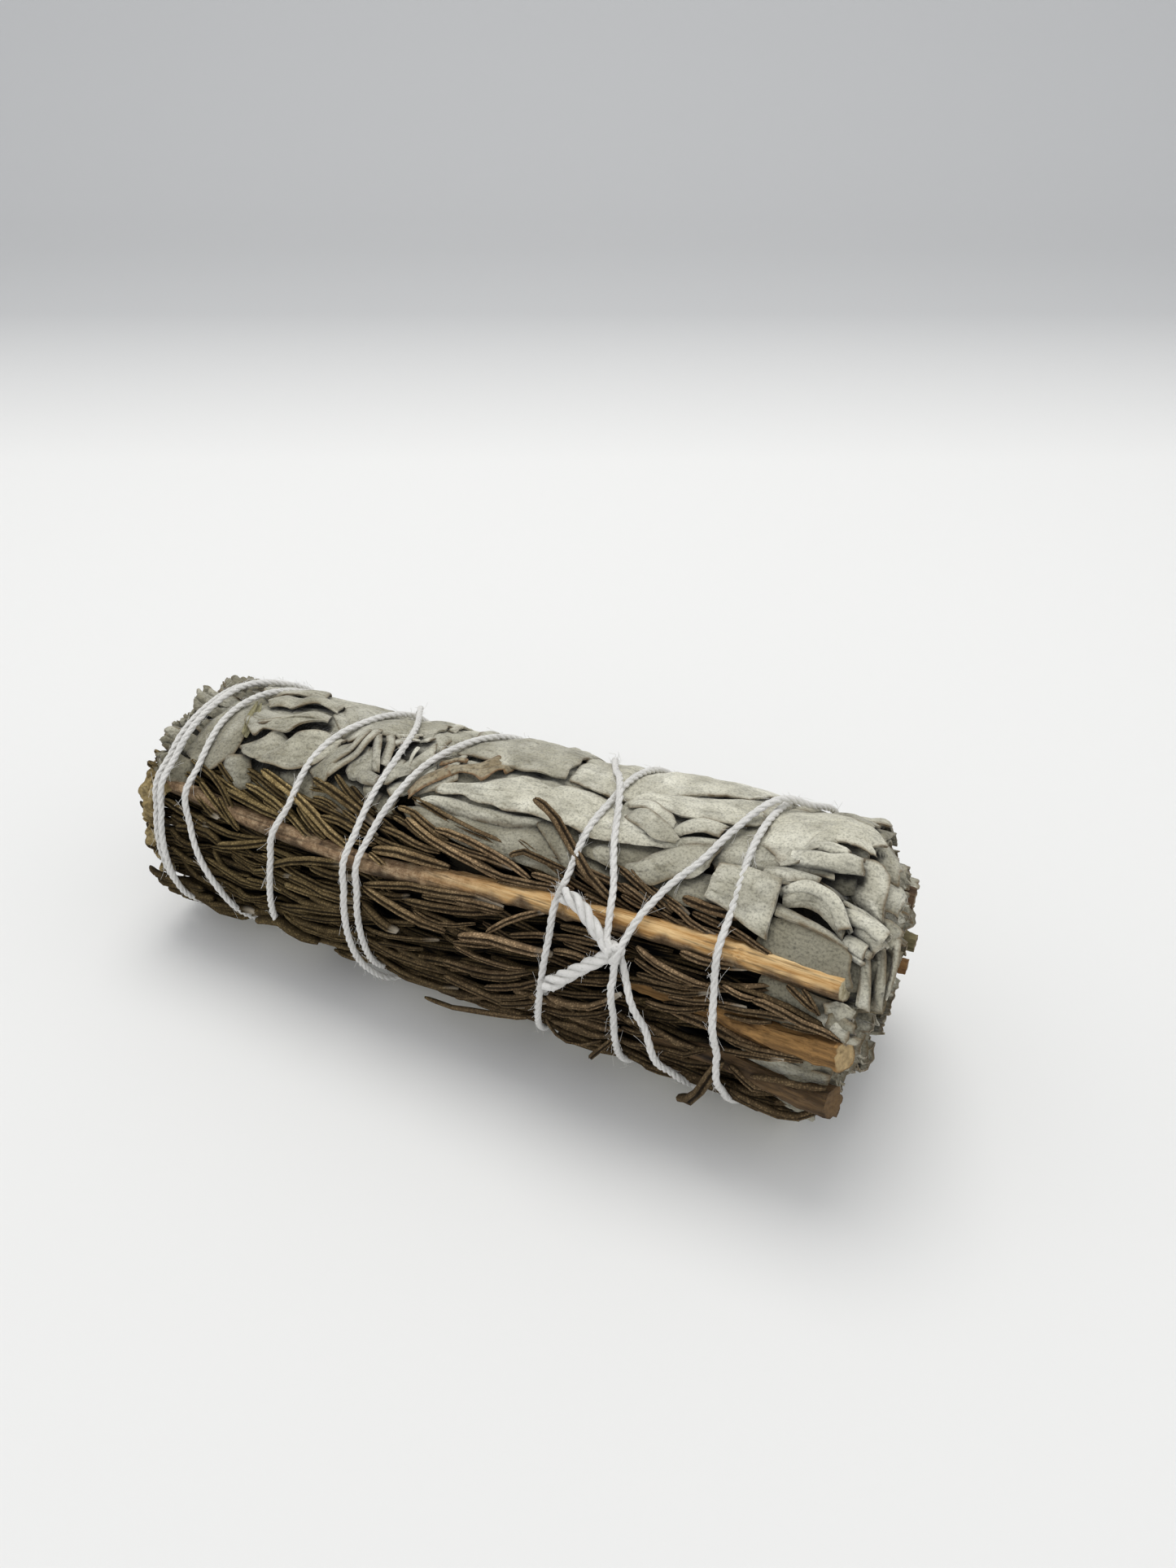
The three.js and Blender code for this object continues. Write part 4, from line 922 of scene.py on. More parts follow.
# Depth and number of the flat bases between the scrolls.
LAYER_RINGS = ((.6, 11), (1.7, 10), (2.9, 9), (4.2, 9), (7.6, 8), (12.4, 5))
LAYER_ROOT = 40.5
roll_rng = np.random.default_rng(83)


def along_line(path, at):
    """The places at some shares of a line of points, and the ways ahead, up and across."""
    stops = np.linspace(0, 1, len(path))
    centre = smooth_run(stops, path, at)
    heading = smooth_run(stops, np.gradient(path, stops, axis=0), at)
    heading /= np.linalg.norm(heading, axis=1)[:, None]
    upward = np.array([0, 0, 1.0]) - heading * heading[:, 2:3]
    upward /= np.linalg.norm(upward, axis=1)[:, None]
    return centre, heading, upward, np.cross(heading, upward)


def spokes(across, upward, angle, radius):
    turned = across * np.cos(angle)[:, None] + upward * np.sin(angle)[:, None]
    return turned * radius[:, None]


def rolled_leaf(path, outer, inner, turns, start, torn=.6, tint=.8, rows=40, cols=22,
                thickness=LEAF_THICKNESS):
    """A leaf rolled round a line. path is a run of points in mm, outer and inner its radii."""
    sheet, u, v = leaf_sheet(rows, cols)
    path = np.array(path, float)
    length = np.linalg.norm(path[-1] - path[0])
    s, t = u * 6.28 * outer, v * length
    rip = swell(roll_rng, s, 0 * v, 4.5) + .3 * swell(roll_rng, s, 0 * v, 1.2)
    along = np.clip(v + torn * rip * v**5 / length, 0, 1.15)
    centre, heading, upward, across = along_line(path, np.clip(along, 0, 1))
    centre = centre + heading * (np.maximum(along - 1, 0) * length)[:, None]
    angle = np.radians(start + 360 * turns * u)
    radius = inner + (outer - inner) * u
    radius = radius * (1 + .13 * np.sin(2 * angle + start))
    radius = radius + SCROLL_CRUMPLE * swell(roll_rng, s, t, 3.0)
    spot = centre + spokes(across, upward, angle, radius)
    spot[:, 2] = np.maximum(spot[:, 2], SCROLL_CLEARANCE)
    set_points(sheet, spot * MM)
    mark_points(sheet, "tint", np.clip(tint + .2 * swell(roll_rng, s, t, 4), 0, 1))
    mark_points(sheet, "edge_band", np.clip(1.0 - (1 - v) * length / .5, 0, 1))
    thicken(sheet, thickness, felt)
    return sheet


def mm_on_bundle(x, around, out):
    return on_bundle(float(x), float(around), bundle_radius(float(x)) + out) / MM


def cut_end(around, depth):
    """How far the leaf bases reach: the inner ones furthest, those on top the least."""
    reach = np.interp(depth, *BASE_REACH)
    for middle, spread, short, inward in SHORT_PLACES:
        turn = turn_between(around, middle)
        reach = reach - short * math.exp(-(turn / spread) ** 2) * max(0, 1 - depth / inward)
    return reach


scrolls = []
for depth, count, size in SCROLL_RINGS:
    for k in range(count):
        around = 360 * (k + roll_rng.uniform(-.2, .2)) / count
        if depth < 5 and (around < 125 or around > 345):
            continue
        reach = cut_end(around, depth) + roll_rng.uniform(-1.0, .5)
        end = mm_on_bundle(reach, around, -depth)
        begin = mm_on_bundle(SCROLL_ROOT, around + roll_rng.uniform(-8, 8), -depth)
        scrolls.append(rolled_leaf(
            [begin, (begin + end) / 2, end], size * roll_rng.uniform(.85, 1.25), .5,
            roll_rng.uniform(1.1, 1.9), roll_rng.uniform(0, 360), tint=roll_rng.uniform(.15, .85)))
scrolls_end = len(scrolls)
# Leaf bases between the scrolls, seen edge on.
for ring, (depth, count) in enumerate(LAYER_RINGS):
    for k in range(count):
        around = 360 * (k + roll_rng.uniform(-.3, .3)) / count
        under_bed = 46 < around < 130
        if depth < 2.5 and (around > 345 or around < 46):
            continue
        level = -depth - (2.6 if under_bed and ring == 0 else 0)
        half = roll_rng.uniform(9, 15) * (1 + .2 * ring)
        end = cut_end(around, depth) + roll_rng.uniform(-.7, .5)
        scrolls.append(leaf(
            [(LAYER_ROOT, around - half, level - .5, LAYER_ROOT, around + half, level - .5),
             (46, around - half, level - .1, 46, around + half, level + .2),
             (end, around - half * .9, level + .3, end - .5, around + half * .9, level + .2)],
            bulge=roll_rng.uniform(-.5, .5), rim=0, crumple=.22, ragged=.16, rows=18, cols=26,
            tint=roll_rng.uniform(0, .7), thickness=.26))
# The arched roll on top of the cut end with its open end, and the curls in front of it:
# outer and inner radius, turns, where the rim starts, tint and the line of each.
CURLS = (
    (.7, .5, 1.2, 200, .97, ((39.6, 26.5, -.2), (42.3, 23.8, .7), (44.4, 25.3, 1.2),
                             (46.2, 29, 1.1), (47.9, 35.5, .5))),
    (.75, .5, 1.3, 60, .95, ((39.4, 13.5, .2), (42.2, 12.6, .8), (44.8, 12.1, 1.1),
                             (47, 11.6, 1.1))),
    (.8, .4, 1.5, 120, .85, ((46.8, 28, -.4), (49.4, 29.8, .2), (51.8, 32.5, 0))),
    (.7, .3, 1.4, 40, .8, ((48.8, 31, -.7), (50.3, 33.5, -.3), (51.4, 36.5, -.5))),
    (1.05, .35, 1.9, 30, .75, ((47.8, 37.3, -.7), (49.2, 38.4, -.5), (50.5, 39.6, -.6))),
    (1.3, .6, 1.4, 90, .7, ((46.5, 63, -2.6), (48.8, 65, -1.9), (50.6, 67, -1.8))),
)
for outer, inner, turns, start, tint, line in CURLS:
    scrolls.append(rolled_leaf([mm_on_bundle(*stop) for stop in line], outer, inner, turns, start,
                               torn=.35, tint=tint, rows=44, cols=36, thickness=.3))
# Leaf bases round the front of the end, standing edge to edge, and torn bits below the long
# rosemary stem: tint, crumple and edges.
END_STRIPS = (
    (.95, .12, ((49.6, 40, -.2, 50.9, 40, .3), (50.2, 48, -.2, 51.6, 48, .4),
                (50.6, 57, -.3, 52, 57, .2))),
    (.6, .12, ((51, 34, -.6, 52, 34, -.1), (51.6, 45, -.6, 52.8, 45, -.1),
               (52, 57, -.7, 53, 57, -.3))),
    (.9, .12, ((52.2, 28, -1.1, 53, 28, -.7), (52.8, 40, -1.1, 53.6, 40, -.7),
               (52.9, 52, -1.2, 53.6, 52, -.8))),
    (.7, .4, ((47.4, 58.5, -.4, 47.6, 62, -.6), (49, 58, 0, 49.2, 62.5, -.1),
              (50.8, 58, .2, 50.6, 61.5, -.1))),
    (.45, .4, ((48, 62.5, -.5, 48.2, 66, -.6), (49.6, 62, -.1, 49.8, 66.5, -.2),
               (51.3, 63, .1, 51.2, 67, -.2))),
    (.8, .4, ((49, 66.5, -.8, 49.2, 69, -1), (50.6, 67, -.4, 50.8, 70, -.6),
              (52, 67.5, -.4, 52, 70.5, -.6))),
)
for tint, crumple, edges in END_STRIPS:
    scrolls.append(leaf(edges, crumple=crumple, ragged=.35, rows=26, cols=14, tint=tint,
                        thickness=.26))
# The blade that hangs from the arched roll, open below.
scrolls.append(leaf(
    [(40, 28, .5, 40.3, 31.2, .1), (42.3, 24.5, 1.2, 42.8, 29.8, .5),
     (44.4, 26, 1.5, 44.4, 31, .7), (46, 29.5, 1.3, 46.2, 34, .5), (47.4, 34, .8, 47.6, 37, .2)],
    bulge=.2, rim=.15, crumple=.15, ragged=.12, rows=36, cols=18, tint=.75))
butt_rolls = (join_pieces(scrolls[:scrolls_end], "sage_butt_scrolls"),
              join_pieces(scrolls[scrolls_end:], "sage_butt_layers"))
for piece in butt_rolls:
    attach(piece, "root")
    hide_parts("sage_leaf_roll")


# ----------------------------------------------------------
# Sage stems: four short woody leaf stems that stick out of the cut end in the middle of
# the rolled leaves. Each is a rough round stick with a flat sawn end.

# Place across, height, radius and end of each stem in mm, then its dark and light tone.
SAGE_STEMS = {
    "sage_stem_olive": (9.5, 18.5, 1.1, 53.0, (.12, .1, .05), (.27, .23, .12)),
    "sage_stem_tan": (11.5, 12.3, 1.0, 52.4, (.16, .075, .03), (.36, .2, .08)),
    "sage_stem_dark": (8.5, 26.0, 1.3, 51.9, (.05, .03, .02), (.18, .11, .06)),
    "sage_stem_pale": (.5, 18.6, 1.6, 51.2, (.26, .23, .16), (.48, .44, .33)),
}
SAGE_STEM_ROOT = 34
SHARP_STEM_ANGLE = 42
# A point this far along the unit stick lies on one of its cut ends.
CUT_END = .4999
# How far in the two rings of a cut end are set, one inside the other.
CUT_RINGS = (.22, .38)
stem_rng = np.random.default_rng(101)


def stick(sides, rings, name):
    """A closed round stick of unit size along x, with an inset pith ring at its cut end."""
    deselect_all()
    bpy.ops.mesh.primitive_cylinder_add(vertices=sides, radius=1, depth=1, end_fill_type="NGON",
                                        rotation=(0, math.pi / 2, 0))
    piece = bpy.context.object
    piece.name = name
    bpy.ops.object.transform_apply(location=True, rotation=True, scale=True)
    bpy.ops.object.mode_set(mode="EDIT")
    bpy.ops.mesh.select_mode(type="EDGE")
    bpy.ops.mesh.select_all(action="DESELECT")
    bpy.ops.object.mode_set(mode="OBJECT")
    for edge in piece.data.edges:
        a, b = (piece.data.vertices[i].co for i in edge.vertices)
        edge.select = abs(a.x - b.x) > .5
    bpy.ops.object.mode_set(mode="EDIT")
    bpy.ops.mesh.subdivide(number_cuts=rings, quadcorner="INNERVERT")
    bpy.ops.mesh.select_mode(type="FACE")
    bpy.ops.mesh.select_all(action="DESELECT")
    bpy.ops.object.mode_set(mode="OBJECT")
    for face in piece.data.polygons:
        face.select = abs(face.normal.x) > .9
    bpy.ops.object.mode_set(mode="EDIT")
    for width in CUT_RINGS:
        bpy.ops.mesh.inset(thickness=width, depth=0, use_individual=True)
    bpy.ops.object.mode_set(mode="OBJECT")
    return piece


def pick(piece):
    deselect_all()
    piece.select_set(True)
    bpy.context.view_layer.objects.active = piece


def lay_stick(piece, path, radii, ridges, knots=(), hollow=.12, slant=0):
    """Lays a unit stick along a path in mm, with lengthwise ridges, ringed knots and a cut
    end that may slant towards the front."""
    unit = read_points(piece)
    t = np.clip(unit[:, 0] + .5, 0, 1)
    spoke = np.hypot(unit[:, 1], unit[:, 2])
    angle = np.arctan2(unit[:, 2], unit[:, 1])
    path = np.array(path, float)
    length = np.sum(np.linalg.norm(np.diff(path, axis=0), axis=1))
    run = t * length
    centre, heading, upward, across = along_line(path, t)
    radius = np.interp(t, np.linspace(0, 1, len(radii)), radii)
    bark = swell(stem_rng, np.cos(angle) * 2, np.sin(angle) * 2 + run * .12, 1.6)
    bark = bark + .5 * swell(stem_rng, np.cos(angle) * 3, np.sin(angle) * 3 + run * .5, 1.0)
    grown = 1 + ridges * bark
    for place, rise in knots:
        grown = grown + rise * np.exp(-((run - place) / .45) ** 2)
    reach = radius * np.where(spoke > .97, grown, 1.0) * spoke
    dip = hollow * np.clip(1 - spoke / .6, 0, 1)
    dip = dip + .06 * swell(stem_rng, angle * 3, spoke * 4, 1.5)
    end = np.where(unit[:, 0] > CUT_END, -dip, np.where(unit[:, 0] < -CUT_END, dip, 0))
    end = end - slant * reach * (.8 * np.cos(angle) + .6 * np.sin(angle)) * (t > .985)
    spot = centre + spokes(across, upward, angle, reach) + heading * end[:, None]
    set_points(piece, spot * MM)
    mark_points(piece, "pith", np.where(np.abs(unit[:, 0]) > CUT_END, 1 - .7 * spoke, 0))
    under = .5 - .5 * np.sin(angle) + .22 * swell(stem_rng, angle, run, 4)
    mark_points(piece, "under", under)
    pick(piece)
    bpy.ops.object.shade_smooth_by_angle(angle=math.radians(SHARP_STEM_ANGLE))


def wood(name, dark, light, pith=(.24, .18, .11), grain=900):
    finish = Finish(name, .8)
    along = finish.stretched((.07, 1, 1))
    fibre = finish.noise(grain, 6, .7, along)
    streaks = finish.ramp(fibre, (.34, dark), (.62, light))
    pores = finish.noise(2600, 3, .6, along)
    bark = finish.shaded(streaks, pores, .65, (.36, .45), (.52, 1.0))
    cut = finish.ramp(finish.noise(1800, 4), (.3, tuple(.6 * c for c in pith)), (.65, pith))
    share = finish.ramp(finish.marked("pith"), (.3, 0), (.42, 1.0))
    finish.color(finish.mix(bark, cut, share))
    finish.bump(fibre, .0004, .8)
    return finish


for name, (side, height, radius, end, dark, light) in SAGE_STEMS.items():
    stub = stick(20, 26, name + "_bark")
    line = [(SAGE_STEM_ROOT, side * .9, height), (end - 6, side * .985, height),
            (end, side, height)]
    lay_stick(stub, line, [radius * .97, radius * .97, radius], .16, hollow=.3)
    coat(stub, wood(name + "_wood", dark, light))
    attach(stub, "root")
    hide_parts(name)


# ----------------------------------------------------------
# Rosemary stems: three woody stems along the front. The long one runs the whole bundle,
# rough and barky towards the tip, smooth and orange at the butt, with a ringed node.

STEM_DEPTH = 1.1
# The line of each stem, as x and degrees around.
STEM_A = ((-50, -32.6, -21.4, -12.1, 1, 10, 22.7, 31.7, 44.1, 49.2),
          (52, 58, 60, 61.5, 56.5, 54.5, 52, 51, 51.5, 52))
STEM_B = ((24, 36.7, 43.3, 50.8), (77.5, 78, 76.5, 75))
STEM_C = ((28, 39.3, 50.6), (100, 97.5, 98))
STEM_A_RADII = (1.15, 1.25, 1.3, 1.36, 1.4)
# Distance from the stem's thin end to each ringed knot in mm, and how far it stands out.
STEM_A_KNOTS = ((35, .2), (46.5, .28), (56.5, .16), (66, .2), (88, .3))
STEM_B_KNOTS = ((24.2, .14),)
# The long stem turns from rough bark to smooth wood between these places, in metres.
WORN_FROM = -.007
WORN_TO = .01


def stem_path(line, buried, count=14):
    xs = np.linspace(line[0][0], line[0][-1], count)
    around = np.interp(xs, *line)
    sunk = buried * np.clip(2.1 - (xs - xs[0]) / 9, 0, 1)
    out = np.array([bundle_radius(x) for x in xs]) - STEM_DEPTH - sunk
    return on_bundle(xs, around, out) / MM


long_stem = stick(26, 230, "rosemary_stem_a_bark")
lay_stick(long_stem, stem_path(STEM_A, 0, 20), STEM_A_RADII, .055, STEM_A_KNOTS, slant=.35)
orange_wood = Finish("orange_stem_wood", .72)
grain_place = orange_wood.stretched((.05, 1, 1))
wood_grain = orange_wood.noise(1100, 6, .7, grain_place)
smooth_wood = orange_wood.ramp(wood_grain, (.3, (.11, .05, .018)), (.44, (.45, .25, .085)),
                               (.66, (.74, .53, .27)))
rough_bark = orange_wood.ramp(orange_wood.noise(900, 6, .75), (.3, (.06, .037, .02)),
                              (.48, (.24, .155, .085)), (.7, (.5, .38, .235)))
peeled = orange_wood.shaded(orange_wood.lengthwise(WORN_FROM, WORN_TO),
                            orange_wood.marked("under"), 1.0, (.35, 1.0), (.62, .15))
stem_tone = orange_wood.mix(rough_bark, smooth_wood, peeled)
stem_cracks = orange_wood.noise(2300, 4, .6, grain_place)
stem_tone = orange_wood.shaded(stem_tone, stem_cracks, .8, (.36, .3), (.5, 1.0))
# Painted shade: the stem is darker underneath and a little lighter on top.
stem_tone = orange_wood.shaded(stem_tone, orange_wood.marked("under"), 1.0,
                               (.3, 1.12), (.72, .48))
pale_pith = orange_wood.ramp(orange_wood.noise(1700, 4),
                             (.3, (.3, .25, .14)), (.65, (.6, .54, .38)))
stem_share = orange_wood.ramp(orange_wood.marked("pith"), (.3, 0), (.42, 1.0))
orange_wood.color(orange_wood.mix(stem_tone, pale_pith, stem_share))
orange_wood.bump(wood_grain, .0005, .8)
coat(long_stem, orange_wood)
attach(long_stem, "root")
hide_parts("rosemary_stem_a")

# The short stems: line, how deep the hidden end is buried, radii, knots, and the dark,
# light and cut tones of the wood.
SHORT_STEMS = {
    "rosemary_stem_b": (STEM_B, 2.2, (1.2, 1.3, 1.4, 1.7), STEM_B_KNOTS,
                        (.05, .023, .008), (.37, .205, .07), (.5, .36, .18)),
    "rosemary_stem_c": (STEM_C, 1.0, (1.3, 1.45, 1.7), (),
                        (.022, .014, .008), (.15, .09, .04), (.15, .09, .04)),
}
for name, (line, buried, radii, knots, dark, light, cut_tone) in SHORT_STEMS.items():
    stem = stick(24, 70, name + "_bark")
    lay_stick(stem, stem_path(line, buried), radii, .12, knots, hollow=.35, slant=.45)
    coat(stem, wood(name + "_wood", dark, light, cut_tone, 700))
    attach(stem, "root")
    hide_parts(name)


# ----------------------------------------------------------
# Rosemary needles: narrow leathery leaves with rolled margins and a groove between them.
# They grow from nodes on the stems, fan out above the long stem and lie almost lengthwise
# below it. One needle is modelled and copied; those on top are laid one by one.

# The needles turn from olive at the tip to brown between these places, in metres.
OLIVE_TO = -.028
BROWN_FROM = .004

needle_finish = Finish("dry_rosemary_needle", .85)
needle_finish.shader.inputs["Specular IOR Level"].default_value = .1
needle_mottle = needle_finish.noise(520, 5, .6)
needle_dark = needle_finish.ramp(needle_mottle, (.3, (.03, .02, .009)), (.7, (.075, .052, .022)))
needle_olive = needle_finish.ramp(needle_mottle, (.3, (.27, .19, .076)), (.7, (.62, .468, .215)))
needle_brown = needle_finish.ramp(needle_mottle, (.3, (.27, .174, .092)), (.7, (.57, .398, .235)))
needle_age = needle_finish.lengthwise(OLIVE_TO, BROWN_FROM)
needle_light = needle_finish.mix(needle_olive, needle_brown, needle_age)
needle_tone = needle_finish.mix(needle_dark, needle_light, needle_finish.marked("tint"))
# Painted shade: each needle darkens from its rolled margins into its groove and underneath.
needle_tone = needle_finish.shaded(needle_tone, needle_finish.marked("rise"), .9,
                                   (.32, (.04, .032, .02)), (.78, 1.0))
needle_pebbles = needle_finish.cells(3600, "F1")
needle_tone = needle_finish.shaded(needle_tone, needle_pebbles, .75, (.15, 1.35), (.5, .35))
needle_tone = needle_finish.mix(needle_tone, (.56, .5, .4), needle_finish.marked("pale"))
# Painted shade in the hollows between the needles, and painted light on those that stand proud.
needle_finish.color(needle_finish.shaded(needle_tone, needle_finish.marked("hollow"), 1.0,
                                         (0, 1.35), (.17, .92), (.31, .25), (.5, .01)))
needle_finish.bump(needle_pebbles, .00025, -.8)

# The needle is drawn out ring by ring from its narrow base to its blunt tip: how long each
# step is, and how much the ring grows.
NEEDLE_STEPS = ((.06, 1.45), (.14, 1.2), (.22, 1.04), (.24, 1.0), (.2, .95), (.09, .84),
                (.05, .55))
deselect_all()
bpy.ops.mesh.primitive_circle_add(vertices=8, radius=.55, fill_type="NGON",
                                  rotation=(0, -math.pi / 2, 0))
needle_form = bpy.context.object
needle_form.name = "needle_form"
bpy.ops.object.transform_apply(location=True, rotation=True, scale=True)
bpy.ops.object.mode_set(mode="EDIT")
bpy.ops.mesh.select_all(action="SELECT")
for step, grow in NEEDLE_STEPS:
    bpy.ops.mesh.extrude_region_move(TRANSFORM_OT_translate={"value": (-step, 0, 0)})
    bpy.ops.transform.resize(value=(1, grow, grow))
bpy.ops.mesh.select_all(action="SELECT")
bpy.ops.mesh.normals_make_consistent(inside=False)
bpy.ops.object.mode_set(mode="OBJECT")
form = read_points(needle_form)
form_t = -form[:, 0]
form_ring = np.hypot(form[:, 1], form[:, 2])
form_angle = np.arctan2(form[:, 2], form[:, 1])
# Two rolled margins with the groove between them, flat and narrow underneath.
SECTION_ANGLES = np.radians([-180, -135, -90, -45, 0, 45, 90, 135, 180])
SECTION_ACROSS = [-.5, -.32, 0, .32, .5, .27, 0, -.27, -.5]
SECTION_OUT = [0, -.34, -.4, -.34, 0, .48, .2, .48, 0]
# Painted light across the section: full on the margins, dim underneath, darkest in the groove.
SECTION_LIT_SHARE = [.6, .5, .4, .5, .6, 1, 0, 1, .6]
form_across = form_ring * np.interp(form_angle, SECTION_ANGLES, SECTION_ACROSS)
form_out = form_ring * np.interp(form_angle, SECTION_ANGLES, SECTION_OUT)
form_lit_share = np.interp(form_angle, SECTION_ANGLES, SECTION_LIT_SHARE)
needle_rng = np.random.default_rng(131)
TIP_SPREAD = .085
STEM_BED = 1.5
# Where each stem comes to the top of its bed.
BED_STARTS = ((STEM_A, -36), (STEM_B, 30), (STEM_C, 36))


def needle_skin(x, around):
    """The needles' tips spread free past the last turn of string instead of closing in."""
    return skin(x, around) + TIP_SPREAD * np.maximum(0, TIP_CURL_FROM - x) ** 2


def stem_bed(x, around):
    """The needles lie lower beside the stems, so that the stems show."""
    bed = 0
    for line, first in BED_STARTS:
        arc = np.radians(around - np.interp(x, *line)) * MEAN_RADIUS
        shown = 1 + np.exp(-(x - first) / 1.5)
        bed = np.maximum(bed, STEM_BED * np.exp(-(arc / 1.5) ** 2) / shown)
    return bed


def needle(path, width, level, tint, base_dip=.9, tip_out=.1, roll=0, pale=0, bed=1.0):
    """A copy of the needle along a path of (x, degrees) from its base to its tip."""
    piece = needle_form.copy()
    piece.data = needle_form.data.copy()
    bpy.context.collection.objects.link(piece)
    path = np.array(path, float)
    stops = np.linspace(0, 1, len(path))
    spot = smooth_run(stops, path, form_t)
    ahead = (smooth_run(stops, path, np.minimum(form_t + .05, 1))
             - smooth_run(stops, path, np.maximum(form_t - .05, 0)))
    degree = math.radians(1) * bundle_radius(path[0, 0])
    heading = np.arctan2(ahead[:, 1] * degree, -ahead[:, 0])
    twist = roll + .3 * math.sin(7 * path[0, 0]) * form_t
    side = width * (form_across * np.cos(twist) - form_out * np.sin(twist))
    rise = width * (form_across * np.sin(twist) + form_out * np.cos(twist))
    at_x = spot[:, 0] - side * np.sin(heading)
    at_around = spot[:, 1] - side * np.cos(heading) / degree
    dip = base_dip * np.exp(-(form_t / .16) ** 2)
    out = level - dip + tip_out * form_t**2 + rise - bed * stem_bed(at_x, at_around)
    set_points(piece, on_bundle(at_x, at_around, needle_skin(at_x, at_around) + out))
    mark_points(piece, "tint", tint)
    mark_points(piece, "rise", form_lit_share)
    mark_points(piece, "pale", pale * np.exp(-(form_t / .09) ** 2))
    return piece


# Width, height, tone and the line from base to tip of each needle that lies on top.
TOP_NEEDLES_A = [
    (.9, .3, .35, ((-34.4, 63), (-36.3, 53), (-39, 45), (-41.5, 42), (-44.8, 39))),
    (.8, .1, .25, ((-36.2, 45), (-38.2, 41), (-40.1, 37))),
    (1.1, -.3, .3, ((-27.5, 45), (-30, 42), (-33, 38), (-35.9, 36))),
    (1.3, .3, .85, ((-15.4, 58), (-20, 51), (-24.2, 44), (-28.6, 39), (-32.6, 35))),
    (1, .1, .6, ((-20.6, 60), (-23.8, 55), (-26.9, 50), (-30.5, 45), (-34.3, 43))),
    (1.2, .2, .45, ((-26.6, 53), (-29.1, 52), (-32.8, 50), (-36.6, 48))),
    (.9, -.1, .55, ((-26.6, 51), (-28.7, 49), (-30.7, 47))),
    (1, -.5, .25, ((-26.6, 57), (-29.1, 57), (-32.7, 56), (-36, 54))),
    (1, 0, .5, ((-35.4, 62), (-37.5, 57), (-40, 52), (-42.4, 48))),
    (.9, -.1, .35, ((-42.3, 48), (-44.2, 46), (-46.1, 46))),
    (1.3, .2, .4, ((-13.3, 44), (-17.2, 39), (-21.2, 35), (-24.6, 32))),
    (.8, -.2, .35, ((-18.5, 43), (-21.3, 40), (-23.7, 40))),
    (.9, .1, .25, ((-14.3, 40), (-17.4, 36), (-19.6, 32), (-21.5, 28))),
    (1, -.2, .2, ((-14, 38), (-16.5, 35), (-18.7, 31))),
    (.9, .1, .55, ((-20, 56), (-22.7, 51), (-25.4, 46))),
    (.9, 0, .4, ((-13.5, 49), (-15.4, 49), (-18.2, 47), (-21, 47))),
    (.7, .3, .4, ((-12.7, 48), (-15.4, 45), (-18.1, 42))),
    (.7, 0, .45, ((-12.5, 52), (-14.7, 53), (-17, 54))),
    (1.3, .3, .6, ((-1, 52), (-4.8, 52), (-8.5, 52), (-12.3, 54))),
    (.9, .4, .85, ((-8.2, 62), (-10.8, 58), (-12.6, 56))),
    (.9, 0, .45, ((-3, 47), (-5.6, 47), (-8.8, 45), (-12.3, 44))),
    (.8, -.3, .25, ((-3.5, 50), (-6.7, 50), (-9.8, 50), (-12.5, 49))),
    (.8, -.2, .25, ((-2.9, 45), (-5.9, 43), (-8.5, 40), (-11.3, 38))),
    (1, .4, .8, ((5.8, 50), (1.9, 47), (-1.8, 45), (-5.4, 42), (-8.5, 38))),
    (.9, .1, .5, ((-2.2, 41), (-4.8, 39), (-8, 35), (-10.8, 34))),
    (.9, .5, .7, ((10.2, 47), (6.6, 43), (3.1, 41), (-.7, 39), (-3.9, 39))),
    (.8, .2, .45, ((7.9, 45), (4.7, 44), (1.4, 44), (-2.3, 43))),
    (.8, .1, .45, ((15.2, 48), (13.7, 47), (9.4, 49), (5.5, 49), (2.3, 47))),
    (.8, 0, .35, ((14.9, 49), (9.6, 51), (5.2, 53))),
    (.8, .6, .25, ((14.8, 40), (11.2, 39), (8.6, 38), (7, 41))),
    (.8, .3, .5, ((15.7, 46), (13, 45), (10.4, 45))),
    (1.2, .9, .35, ((21.1, 46), (17.6, 40), (14.4, 32), (11.8, 25), (9.2, 20), (6.8, 17))),
    (.8, .4, .45, ((20.8, 45), (18, 41), (15.4, 37))),
    (.8, .2, .35, ((22.1, 49), (19.7, 48), (17.5, 47))),
    (.9, .3, .3, ((28.3, 44), (26, 41), (23.1, 37), (20.2, 33))),
    (.8, .3, .4, ((27, 46), (24.3, 42), (21.5, 39))),
    (.8, .2, .35, ((30.4, 43), (28, 40), (25.3, 38), (22.1, 33))),
    (1.2, .4, .5, ((39.6, 38), (37, 38), (34.4, 39), (31.6, 39), (29.2, 38))),
    (.8, .1, .35, ((35.3, 44), (33, 43), (30.8, 42))),
    (.7, .2, .5, ((34.8, 48), (31.5, 46), (29.4, 43), (27.6, 41))),
    (.7, 0, .3, ((34.1, 48), (31.6, 48), (29.3, 47), (26.8, 45))),
    (.7, .4, .45, ((41.4, 49), (39.3, 47), (37.4, 45), (35.1, 43))),
    (.7, 0, .3, ((27.4, 46), (24.5, 45), (21.8, 43))),
]
